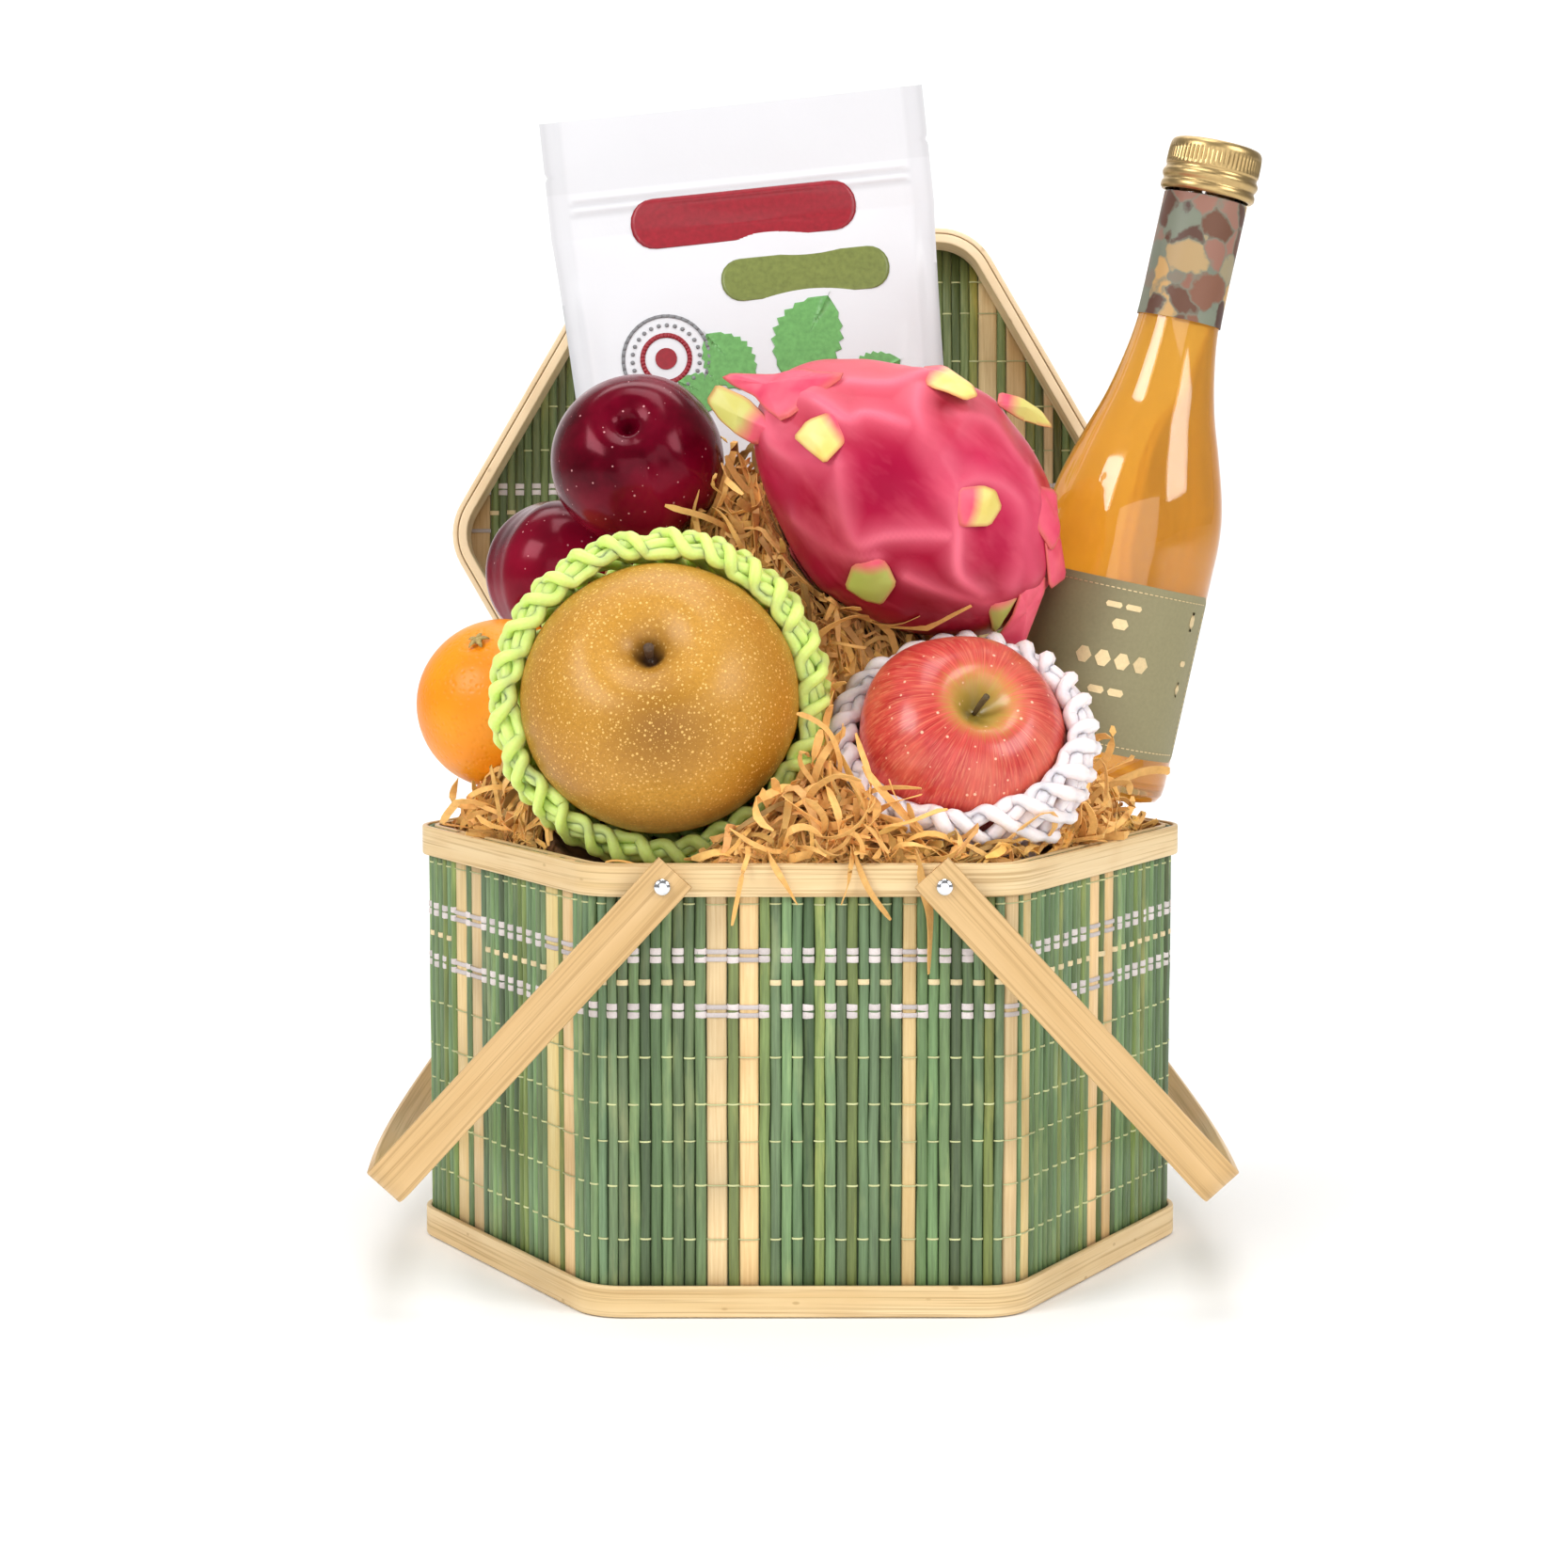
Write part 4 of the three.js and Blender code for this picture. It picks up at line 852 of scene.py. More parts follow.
def make_apple(name, matrix):
    m = Look(name, 0.3, Specular_IOR_Level=0.4, Coat_Weight=0.15, Coat_Roughness=0.15)
    place = m.place(matrix)
    around, reach, height = radial(m, place, 7, 30)
    streak = m.noise(around, 2.6, 3, 0.6)
    cloud = m.noise(place, 34, 3)
    tone = m.blend(streak, (0.42, 0.014, 0.018), (0.66, 0.085, 0.064))
    tone = m.mix(m.span(cloud, 0.45, 0.72, 0, 0.55), tone, (0.8, 0.24, 0.14))
    thin = m.noise(around, 7.0, 3, 0.6)
    ragged = m.math("ADD", m.math("MULTIPLY", streak, 0.012), m.math("MULTIPLY", thin, 0.014))
    rim = m.math("ADD", reach, ragged)
    tone = m.mix(m.span(thin, 0.5, 0.75, 0, 0.42), tone, (0.86, 0.4, 0.21))
    top = m.math("MULTIPLY", m.span(rim, 0.02, 0.03, 1, 0), m.span(height, 0.0, 0.01, 0, 1))
    tone = m.over(tone, top, 0.92, (0.6, 0.4, 0.075))
    # Dark olive deep in the stem cavity: painted shade in the recess
    deep = m.math("MULTIPLY", m.span(reach, 0.003, 0.012, 1, 0), m.span(height, 0.0, 0.01, 0, 1))
    tone = m.over(tone, deep, 0.8, (0.19, 0.14, 0.02))
    dots = specks(m, place, 240, 0.17, 0.85)
    tone = m.over(tone, dots, 0.75, (0.95, 0.66, 0.45))
    m.set(Base_Color=tone, Subsurface_Weight=0.06, Subsurface_Radius=(0.006, 0.002, 0.001))
    m.bump(streak, 0.05, 0.0003)
    return m


def make_plum(name, matrix):
    m = Look(name, 0.18, Specular_IOR_Level=0.3, Specular_Tint=(1.0, 0.34, 0.42, 1))
    place = m.place(matrix)
    cloud = m.noise(place, 30, 4, 0.6)
    patch = m.noise(place, 11, 2)
    tone = m.blend(cloud, (0.03, 0.0002, 0.002), (0.18, 0.001, 0.015))
    tone = m.mix(m.span(patch, 0.5, 0.75, 0, 0.7), tone, (0.36, 0.008, 0.034))
    dots = specks(m, place, 300, 0.16, 0.6)
    tone = m.over(tone, dots, 0.75, (0.8, 0.38, 0.4))
    m.set(Base_Color=tone, Roughness=m.span(cloud, 0.3, 0.7, 0.13, 0.24))
    m.bump(m.noise(place, 160, 3), 0.1, 0.0003)
    return m


def make_orange(name, matrix):
    m = Look(name, 0.38, Specular_IOR_Level=0.36)
    place = m.place(matrix)
    pores = m.voronoi(place, 420)
    cloud = m.noise(place, 22, 2)
    tone = m.blend(cloud, (0.88, 0.24, 0.001), (0.95, 0.355, 0.008))
    tone = m.mix(m.span(pores, 0.0, 0.3, 0.22, 0), tone, (0.72, 0.18, 0.0))
    m.set(Base_Color=tone, Subsurface_Weight=0.08, Subsurface_Radius=(0.006, 0.003, 0.001))
    m.bump(m.span(pores, 0.0, 0.45), 0.45, 0.0004)
    return m


def stem_soup(item, base, tip, radius, bend, color):
    matrix = pose(item)
    path = smooth_curve([(0, 0, base), (0.0002, 0, (base + tip) / 2), (bend, bend * 0.6, tip)], 6)
    width = np.linspace(radius * 0.9, radius * 1.25, len(path))
    points, faces = round_tube(path, width, 10)
    tints = np.tile(np.array(color), (len(points), 1))
    return Soup().add(points, faces, tints).moved(matrix)


def build_fruit():
    soup, matrix = fruit_skin(PEAR, 110, 128, ((0.007, 0.0048), (0.0112, 0.016)), lump=0.012, seed=3)
    grow_piece("nashi_pear", soup, look("pear_skin", make_pear, matrix), ["pear"])
    stem_look = look("stem", make_plain, (1, 1, 1), 0.8, scale=900, depth=0.4)
    stem = stem_soup(PEAR, 0.0305, 0.0365, 0.0016, 0.0004, (0.11, 0.06, 0.03))
    grow_piece("nashi_stem", stem, stem_look, ["pear_stem"])

    wells = ((0.0108, 0.0088), (0.0068, 0.02))
    soup, matrix = fruit_skin(APPLE, 100, 120, wells, 0.014, lump=0.014, seed=8)
    grow_piece("red_apple", soup, look("apple_skin", make_apple, matrix), ["apple"])
    stem = stem_soup(APPLE, 0.017, 0.029, 0.001, 0.0012, (0.12, 0.08, 0.03))
    grow_piece("apple_stalk", stem, stem_look, ["apple_stem"])

    wells = ((0.0062, 0.003), (0.0056, 0.0095))
    for k, plum in enumerate(PLUMS):
        soup, matrix = fruit_skin(plum, 80, 96, wells, 0.0, 0.055, 0.014, 5 + 4 * k)
        skin_look = look(f"plum_skin_{k + 1}", make_plum, matrix)
        grow_piece(f"dark_plum_{k + 1}", soup, skin_look, [plum["name"]])

    soup, matrix = fruit_skin(ORANGE, 60, 80, ((0.0009, 0.006), (0.0007, 0.0126)), lump=0.008, seed=1)
    skin_look = look("orange_skin", make_orange, matrix)
    grow_piece("orange_fruit", soup, skin_look, ["orange"])
    star = Soup()
    for k in range(5):
        a = math.radians(72 * k)
        path = [(r * math.cos(a), r * math.sin(a), ORANGE["half"] - 0.0003 + h)
                for r, h in ((0.0006, 0.0007), (0.0022, 0.0008), (0.0036, 0.0004), (0.0046, -0.0003))]
        star.add(*round_tube(path, [0.0012, 0.0011, 0.0008, 0.0003], 8, 0.5), (0.5, 0.36, 0.12))
    knob = [(0, 0, ORANGE["half"] - 0.0006), (0, 0, ORANGE["half"] + 0.0009)]
    star.add(*round_tube(knob, [0.0018, 0.0013], 12), (0.6, 0.45, 0.18))
    grow_piece("orange_star", star.moved(matrix), stem_look, ["orange_calyx"])


# Dragon fruit: local X runs along it, and local Y to the back of the basket

def dragon_frame():
    along = Vector(DRAGON["axis"]).normalized()
    back = (Vector((0, 1, 0)) - along * along.y).normalized()
    turn = Matrix((along, back, along.cross(back))).transposed()
    return Matrix.Translation(DRAGON["at"]) @ turn.to_4x4()


# Its scales in millimetres: corners at the base, corners round the tip, how much of it is green
# and how olive that green is
DRAGON_SCALES = (
    (((-48.4, -24, -10.5), (-53.5, -10, -20)),
     ((-61.6, -10, -21.2), (-70, -6, -20.7), (-78.1, -3, -18), (-78.8, -3, -10.6), (-67, -8, -7.8),
      (-58.7, -15, -9)), 0.72, 0.6),
    (((-44, -27, 22), (-52, -25, -7)),
     ((-60, -16, -7), (-65.3, -10, -5.6), (-74.2, -3, -7.5), (-78.7, -1, -7.5), (-76.8, -1, -4),
      (-65, -3, 4.5), (-55, -8, 14)), 0.0, 0.0),
    (((-31.2, -37.7, 3.1), (-38.1, -32.2, 9.2)),
     ((-44.8, -28.9, -0.9), (-44.8, -27.3, -8.9), (-38.4, -31.8, -9.5), (-30, -37.1, -9.6),
      (-29.9, -38.2, 0.3)), 0.95, 0.05),
    (((-18.5, -25.5, 35.9), (-21.7, -8.4, 41.8)),
     ((-15.1, -4, 47.7), (-3.6, -22, 47.5), (-0.5, -29, 45), (-3.5, -32, 41), (-11.4, -29, 39)), 0.92, 0.0),
    (((7.8, -6, 52.5), (9.3, -12.2, 48)),
     ((20.7, -6, 49.5), (28.4, -6, 52.5), (32.4, -5.5, 54.6), (24.9, -5.6, 56.8), (15.5, -4.8, 56)),
     0.86, 0.5),
    (((16.5, -48.1, 5.5), (11.6, -47.7, 12.4)),
     ((18.8, -43.8, 19.1), (24, -42.1, 20.6), (30, -41.8, 17.3), (30.5, -44.2, 9.2), (21.4, -47.2, 1.9)),
     0.68, 0.3),
    (((-0.2, -37.7, -32.6), (4.4, -44.2, -23)),
     ((10.2, -42.5, -25.1), (16.7, -39.8, -27.3), (18.6, -30.5, -37.2), (12.6, -28.3, -40),
      (3.5, -28.7, -40.6)), 0.98, 0.9),
    (((46.2, -36, -12), (57.5, -29.4, -2.6)), ((59.7, -24.6, -12), (61.4, -15, -21.5)), 1.0, 0.9),
    (((54, -31, 2), (62, -24, 8)),
     ((66, -20, 4), (71, -13, -8), (75.1, -10, -19.6), (63.7, -15, -23.3), (61.5, -25, -12), (58, -30, -4)),
     0.0, 0.0),
    (((44, -32, 20), (36, -28, 32)), ((46, -20, 36), (55, -20, 26), (56, -25, 14)), 0.12, 0.2),
    (((52, -30, 19), (58, -16, 24)), ((72, -6, 13), (67, -22, 5)), 0.12, 0.2),
    (((30, 20, 38), (36, 32, 26)), ((50, 34, 28), (48, 22, 38)), 0.5, 0.4),
    (((-24, 32, 30), (-20, 42, 18)), ((0, 46, 24), (-4, 36, 36)), 0.5, 0.2),
    (((-44, 32, -2), (-42, 33, -16)), ((-22, 46, -18), (-24, 47, -4)), 0.5, 0.5),
    (((16, 44, -8), (18, 40, -22)), ((40, 38, -26), (38, 42, -10)), 0.5, 0.6),
    (((-18, 10, -44), (-16, 26, -38)), ((6, 30, -42), (4, 12, -51)), 0.5, 0.8),
    (((-44, 18, 24), (-40, 30, 18)), ((-22, 36, 26), (-24, 24, 36)), 0.5, 0.3),
)
# Folds of its skin in millimetres, and their height; their crests are also tinted pale, partly paler skin
# and partly painted highlight
DRAGON_FOLDS = (
    (((-20.9, -29.3, 36.4), (-16.3, -38.5, 28), (-4.9, -44.8, 19.5), (8.8, -46.6, 13.9), (13.4, -47.4, 8),
      (20.1, -46.9, 2.2), (31.9, -42.2, -11), (44, -36, -12)), 1.9),
    (((-60, -20, 4), (-50, -32, 8), (-38.6, -39.9, 8.8), (-34, -40.1, 15.1), (-26.2, -41.2, 19.1),
      (-17.5, -42.1, 21.9)), 1.7),
    (((-31.5, -46, -10), (-18, -43, -20), (-5, -41.6, -25.7), (1.8, -45.8, -17.4), (12.4, -47.5, -8.4),
      (20, -47, -3)), 1.8),
    (((11, -46.6, 12.9), (18.9, -42.1, 21.4), (28.5, -37.6, 24.3), (38.6, -35.1, 20.9), (45.7, -34.4, 13.9),
      (56, -29, 6)), 1.8),
    (((32.1, -26.4, 34.6), (40.2, -29.4, 27.3), (47, -32.5, 16.2), (49.2, -33.5, 9.7), (50, -33, -2)), 1.6),
    (((-62, -16, -8), (-57.3, -22.7, -16.6), (-47.3, -31.4, -17.9), (-38, -39, -13.1), (-30, -44, -8)), 1.6),
    (((-52.9, -26.3, 18.4), (-40, -30, 28), (-30, -28, 34), (-22, -20, 42)), 1.5),
    (((4, -42, -24), (-10, -34, -34), (-28, -24, -36)), 1.3),
    (((18, -41, -24), (32, -38, -20), (48, -34, -14)), 1.5),
    (((-2, -38, 40), (10, -28, 42), (24, -28, 38), (32, -27, 35)), 1.2),
    (((-40, 34, 10), (-10, 46, 14), (20, 46, 6), (50, 30, -4)), 1.6),
    (((-30, 24, -32), (0, 34, -34), (34, 30, -26)), 1.6),
)
# Patches of its skin in millimetres: middle, radius, share of deep magenta and of dark red, the dark red
# being painted shade under the fruit and under its scales
DRAGON_PATCHES = (
    ((-10.3, -48.5, -0.7), 19, 1.0, 0.0), ((32.6, -34.4, -26.4), 17, 0.1, 1.0),
    ((10, -38, -38), 20, 0.0, 0.9), ((36.8, -41, 7.7), 12, 0.45, 0.0), ((-24, -34, -34), 20, 0.2, 0.6),
    ((-9, -31, 36), 6, 0.0, 1.0), ((60, -24, -14), 12, 0.2, 0.5), ((44, -38, -9), 8, 0.0, 0.8),
)


def dragon_surface(points):
    """Points pushed onto the fruit's plain body along rays from its centre."""
    spot = np.asarray(points, float)
    for _ in range(4):
        back = np.maximum(-spot[..., :1] / DRAGON["short"], 0)
        ends = np.where(spot[..., :1] < 0, DRAGON["short"], DRAGON["long"])
        thick = DRAGON["round"] * (1 - DRAGON["slim"] * back)
        body = np.concatenate([ends, thick, thick], -1)
        spot = points / np.linalg.norm(points / body, axis=-1, keepdims=True)
    return spot


def dragon_normal(points):
    return unit(np.asarray(points) / np.array([DRAGON["long"], DRAGON["round"], DRAGON["round"]]) ** 2)


def line_distance(points, line):
    """Distance from each point to a bent line."""
    best = np.full(len(points), np.inf)
    for a, b in zip(line[:-1], line[1:]):
        run = b - a
        share = np.clip((points - a) @ run / run.dot(run), 0, 1)
        best = np.minimum(best, np.linalg.norm(points - a - share[:, None] * run, axis=1))
    return best


def dragon_relief(points):
    """How far the skin stands off the plain body, and its shares of deep magenta, of pale crest, which is
    partly painted highlight, and of dark red, which is painted shade.
    """
    cloud = np.array([noise(Vector(p) * 30) for p in points])
    crest, rise = np.zeros(len(points)), np.zeros(len(points))
    for marks, height in DRAGON_FOLDS:
        line = dragon_surface(smooth_curve(np.array(marks) * 0.001, 5))
        away = line_distance(points, line) * 1000 * (1 + 0.3 * cloud)
        sharp = 0.6 * np.exp(-(away / 2.2) ** 2) * np.clip(0.6 + 1.2 * cloud, 0, 1)
        fold = 0.4 * np.exp(-(away / 7) ** 2) + sharp
        crest = np.maximum(crest, fold * height / 1.9)
        ridge = 0.25 * np.exp(-(away / 2.6) ** 2) + 0.85 * np.exp(-(away / 8.5) ** 2)
        rise = np.maximum(rise, height * ridge)
    deep, dark = np.zeros(len(points)), np.zeros(len(points))
    for middle, radius, magenta, red in DRAGON_PATCHES:
        near = np.exp(-(np.linalg.norm(points * 1000 - np.array(middle), axis=1) / radius) ** 2)
        deep, dark = np.maximum(deep, near * magenta), np.maximum(dark, near * red)
    for base, _, _, _ in DRAGON_SCALES:
        away = np.linalg.norm(points - dragon_surface(np.mean(base, 0) * 0.001), axis=1) * 1000
        rise += 2.2 * np.exp(-(away / 8) ** 2)
    rise += cloud * 1.2 + np.array([noise(Vector(p) * 75) for p in points]) * 0.5
    return rise * 0.001 - 0.0012, np.stack([deep, crest, dark], -1)


def dragon_body():
    def point(t, angle):
        a = t * math.pi
        back = np.maximum(-np.cos(a), 0)
        r = DRAGON["round"] * (1 - DRAGON["slim"] * back) * np.sin(a) ** 0.92
        long = np.where(back > 0, DRAGON["short"], DRAGON["long"])
        return np.stack([long * np.cos(a), r * np.sin(angle), -r * np.cos(angle)], -1)

    points, faces = skin(150, 210, point)
    rise, tints = dragon_relief(points)
    return Soup().add(points + dragon_normal(points) * rise[:, None], faces, tints)


def dragon_scale(base, tips, green, olive):
    """A thick curved scale inside its outline; its tints hold green share, olive share and edge."""
    root, end = np.array(base) * 0.001, np.array(tips) * 0.001
    corners = np.vstack([root, end])
    step = np.linspace(0.12, 0.88, 6)[:, None]
    outline = np.vstack([a + (b - a) * step for a, b in zip(corners, np.roll(corners, -1, axis=0))])
    middle = outline.mean(0)
    out = dragon_normal(middle)
    run = end.mean(0) - root.mean(0)
    upper, lower = [], []
    for s in np.linspace(1, 0.02, 9):
        dome = 0.0016 * (1 - s ** 2)
        ring = middle + (outline - middle) * s + out * dome
        under = dragon_surface(ring)
        share = np.clip((ring - root.mean(0)) @ run / run.dot(run), 0, 1)
        above = np.linalg.norm(ring, axis=1) - np.linalg.norm(under, axis=1)
        short = np.maximum(dragon_relief(under)[0] + 0.003 * share - 0.0003 + dome - above, 0)
        ring = ring + out * short[:, None]
        upper.append(ring)
        lower.append(ring - out * (0.0005 + dome * 0.7))
    points = np.vstack(upper[::-1] + lower)
    share = np.clip(((points - root.mean(0)) @ run / run.dot(run) * 0.7 - (1 - green) * 0.8) / 0.34, 0, 1)
    edge = np.concatenate([np.linspace(0, 1, 9), np.linspace(1, 0, 9)]).repeat(len(outline))
    tints = np.stack([share * (green > 0), np.full(len(points), olive), edge], -1)
    return points, tube_faces(18, len(outline)), tints


def make_dragon_skin(name, matrix):
    m = Look(name, 0.36, Specular_IOR_Level=0.26, Specular_Tint=(1.0, 0.6, 0.7, 1))
    place = m.place(matrix)
    height = m.node("SeparateXYZ", {0: m.node("TexCoord").outputs["Object"]}).outputs[2]
    cloud = m.noise(place, 32, 4, 0.6)
    vein = m.noise(m.place(matrix, (14, 60, 60)), 1.6, 3, 0.6)
    parts = m.node("SeparateColor", {0: m.tint()})
    tone = m.mix(m.span(cloud, 0.35, 0.7), (0.41, 0.004, 0.04), (0.56, 0.02, 0.08))
    # Lighter towards the top and darker towards the bottom: painted light and shade
    tone = m.mix(m.span(height, 0.305, 0.35, 0, 0.7), tone, (0.8, 0.16, 0.18))
    tone = m.mix(m.span(height, 0.235, 0.28, 0.8, 0), tone, (0.26, 0.000, 0.01))
    tone = m.over(tone, parts.outputs[0], 0.9, (0.31, 0.000, 0.03))
    # Dark red: painted shade under the fruit and under the bases of its scales
    tone = m.over(tone, parts.outputs[2], 0.9, (0.22, 0.000, 0.008))
    # Pale pink along the folds' crests: partly the paler skin there, partly painted highlight
    tone = m.mix(m.span(parts.outputs[1], 0.05, 0.95, 0, 0.85), tone, (0.88, 0.19, 0.27))
    tone = m.mix(m.span(vein, 0.5, 0.75, 0, 0.22), tone, (0.82, 0.16, 0.22))
    m.set(Base_Color=tone, Subsurface_Weight=0.06, Subsurface_Radius=(0.006, 0.002, 0.002))
    m.bump(cloud, 0.2, 0.0008)
    return m


def make_dragon_scale(name, matrix):
    m = Look(name, 0.42, Specular_IOR_Level=0.35)
    parts = m.node("SeparateColor", {0: m.tint()})
    cloud = m.noise(m.place(matrix), 60, 3)
    pink = m.blend(cloud, (0.66, 0.035, 0.1), (0.82, 0.13, 0.19))
    tip = m.blend(cloud, (0.84, 0.6, 0.13), (0.94, 0.76, 0.3))
    tip = m.mix(parts.outputs[1], tip, (0.36, 0.42, 0.085))
    share = m.math("ADD", parts.outputs[0], m.math("MULTIPLY", m.math("SUBTRACT", cloud, 0.5), 0.5))
    tone = m.mix(m.span(share, 0.15, 0.85), pink, tip)
    rim = m.math("MULTIPLY", m.span(parts.outputs[2], 0.8, 1.0), 0.6)
    tone = m.mix(rim, tone, (0.62, 0.16, 0.09))
    m.set(Base_Color=tone)
    m.bump(cloud, 0.2, 0.0004)
    return m


def build_dragon_fruit():
    matrix = dragon_frame()
    leaves = Soup()
    for base, tips, green, olive in DRAGON_SCALES:
        leaves.add(*dragon_scale(base, tips, green, olive))
    skin_look = look("dragon_skin", make_dragon_skin, matrix)
    scale_look = look("dragon_scale", make_dragon_scale, matrix)
    for name, soup, material in (("body", dragon_body(), skin_look), ("scales", leaves, scale_look)):
        grow_piece(f"dragon_fruit_{name}", soup.moved(matrix), material, ["dragon_fruit"])


# Foam nets: strands that loop at the rim and cross over and under down the back of the fruit.
# Side is each net from the rim backwards, in millimetres out from its axis and forwards. Strand
# is the strands' radius, weave how far they swing in and out, row the length of the first mesh,
# open how fast the meshes grow, and lean how far they lie aslant
NETS = (
    {"name": "green_foam_net", "node": "pear_net", "item": PEAR, "axis": (0, -0.98, 0.14),
     "count": "pear_strands",
     "side": ((52.8, 3.6), (56.0, 4.4), (59.0, 1.8), (60.0, -4), (59.0, -12), (55.6, -22), (50, -31),
              (41, -39), (28, -45), (13, -48)),
     "strand": 0.0023, "weave": 0.0019, "row": 0.0044, "open": 0.06, "lean": -9, "color": "green_foam"},
    {"name": "pink_foam_net", "node": "apple_net", "item": APPLE, "axis": (-0.1, -0.68, 0.73),
     "count": "apple_strands",
     "side": ((40.8, 3.0), (43.4, 4.2), (46.2, 2.0), (47.0, -3), (46.2, -11), (43.6, -20), (37.6, -29),
              (27, -37), (14, -42)),
     "strand": 0.0028, "weave": 0.0017, "row": 0.0046, "open": 0.06, "lean": -6, "color": "pink_foam"},
)


def make_foam(name, color):
    m = Look(name, 0.5, Subsurface_Weight=0.8, Subsurface_Radius=(0.006, 0.005, 0.004),
             Subsurface_Scale=1.0)
    cell = m.noise(m.place(), 900, 2)
    shade = m.blend(cell, tuple(c * 0.93 for c in color), color)
    m.set(Base_Color=m.tinted(shade))
    m.bump(cell, 0.2, 0.0002)
    return m


def build_nets():
    for net in NETS:
        matrix = pose({"at": net["item"]["at"], "axis": net["axis"]})
        count = getattr(sizes(), net["count"])
        side = smooth_curve(np.array(net["side"]) * 0.001, 6)
        run = np.concatenate([[0], np.cumsum(np.linalg.norm(np.diff(side, axis=0), axis=1))])
        facing = unit(np.gradient(side, axis=0))[:, ::-1] * (-1, 1)
        gap = 2 * math.pi / count
        rand = rng(4)
        rows = math.log(1 + net["open"] * run[-1] / net["row"]) / net["open"] + math.sqrt(0.5)
        q = np.linspace(-rows, rows, int(rows * 16))
        turns = np.sqrt(q ** 2 + 0.5) - math.sqrt(0.5)
        depth = (np.exp(net["open"] * turns) - 1) * net["row"] / net["open"]
        over = np.sign(q) * (0.7 + 0.3 * np.cos(math.pi * q)) * np.clip(np.abs(q) * 1.2, 0, 1)
        soup = Soup()
        for i in range(count):
            level = depth + 0.001 * math.sin(2.1 * i) + rand.normal(0, 0.0007)
            angle = i * gap + gap / 2 * q + rand.normal(0, 0.012) + net["lean"] * np.minimum(depth, 0.02)
            r, z = (np.interp(level, run, side[:, k])
                    + net["weave"] * over * np.interp(level, run, facing[:, k]) for k in (0, 1))
            path = np.stack([r * np.cos(angle), r * np.sin(angle), z], -1)
            thick = net["strand"] * (1 + 0.1 * np.sin(2.3 * q + i)) * rand.uniform(0.94, 1.06)
            soup.add(*round_tube(path, thick, 8), rand.uniform(0.95, 1.04))
        foam = look(net["color"], make_foam, chosen(net["color"]))
        grow_piece(net["name"], soup.moved(matrix), foam, [net["node"]])


# Wood shreds: a dark core, painted shade deep among them, with curling strips strewn over it

def bottle_frame():
    return Matrix.Translation(BOTTLE["at"]) @ Matrix.Rotation(math.radians(BOTTLE["tilt"]), 4, "Y")


def keep_out():
    """What rests in the shreds, as balls: centre and radius."""
    balls = [(PEAR["at"], 0.0625), (APPLE["at"], 0.0492)]
    balls += [(item["at"], item["radius"] + 0.0006) for item in (ORANGE, *PLUMS)]
    along = np.array(Vector(DRAGON["axis"]).normalized())
    balls += [(np.array(DRAGON["at"]) + along * DRAGON["long"] * s, DRAGON["round"] - 0.009 * abs(2 * s))
              for s in np.linspace(-0.5, 0.5, 5)]
    balls += [(tuple(bottle_frame() @ Vector((0, 0, h))), 0.0375)
              for h in (0.006, 0.03, 0.054, 0.078, 0.1)]
    return [(np.array(at, float), radius) for at, radius in balls]


# Tufts of shreds between the fruit: x, y, radius and height
MOUNDS = ((0.007, -0.099, 0.019, 0.016), (0.104, -0.052, 0.018, 0.016), (-0.02, -0.012, 0.022, 0.015))
# The shreds' edge: how far from the middle it is, its height, and how steeply they rise from it
BED_EDGE = {"reach": 0.1215, "height": 0.1615, "slope": 1.5}
# How far from the middle strips go inside the wall, and how far curls go above the rim
WALL_REACH = 0.1222
CURL_REACH = 0.134
# Strips below this level stay inside the wall
RIM_LEVEL = BASKET["height"] + 0.0015
SHRED_THICK = 0.00028


def hex_reach(x, y):
    """How far a point is from the middle, measured square to the nearest side."""
    sides = np.radians(30 + 60 * np.arange(6))
    return np.max([x * math.cos(a) + y * math.sin(a) for a in sides], axis=0)


def bed_top(x, y, balls):
    """Height of the shreds: a heap, pressed down under whatever lies on it."""
    dx, dy = x - HEAP["x"], y - HEAP["y"]
    wide = np.where(dx < 0, HEAP["left"], HEAP["right"])
    deep = np.where(dy < 0, HEAP["front"], HEAP["back"])
    top = HEAP["base"] + HEAP["peak"] * np.exp(-0.5 * ((dx / wide) ** 2 + (dy / deep) ** 2))
    for at, radius in balls:
        away = (x - at[0]) ** 2 + (y - at[1]) ** 2
        under = at[2] - np.sqrt(np.maximum(radius ** 2 - away, 0))
        top = np.where(away < radius ** 2, np.minimum(top, under), top)
    for mx, my, radius, height in MOUNDS:
        top = top + height * np.exp(-((x - mx) ** 2 + (y - my) ** 2) / radius ** 2)
    under_pouch = (np.abs(x - POUCH["at"][0]) < 0.08) & (y > 0.06) & (y < 0.098)
    top = np.where(under_pouch, np.minimum(top, 0.23), top)
    slope = BED_EDGE["slope"] * np.maximum(BED_EDGE["reach"] - hex_reach(x, y), 0)
    return np.minimum(top, BED_EDGE["height"] + slope)


def push_off(paths, balls, gap):
    """Paths moved out of every ball, and a gap away from it."""
    for at, radius in balls:
        off = paths - at
        away = np.linalg.norm(off, axis=-1, keepdims=True)
        paths = np.where(away < radius + gap, at + off * (radius + gap) / np.maximum(away, 1e-6), paths)
    return paths


def hold_in(paths, limit):
    """Draws paths in, so that none goes further from the middle than the limit."""
    reach = hex_reach(paths[..., 0], paths[..., 1])
    paths[..., :2] *= np.minimum(1, limit / np.maximum(reach, 1e-6))[..., None]


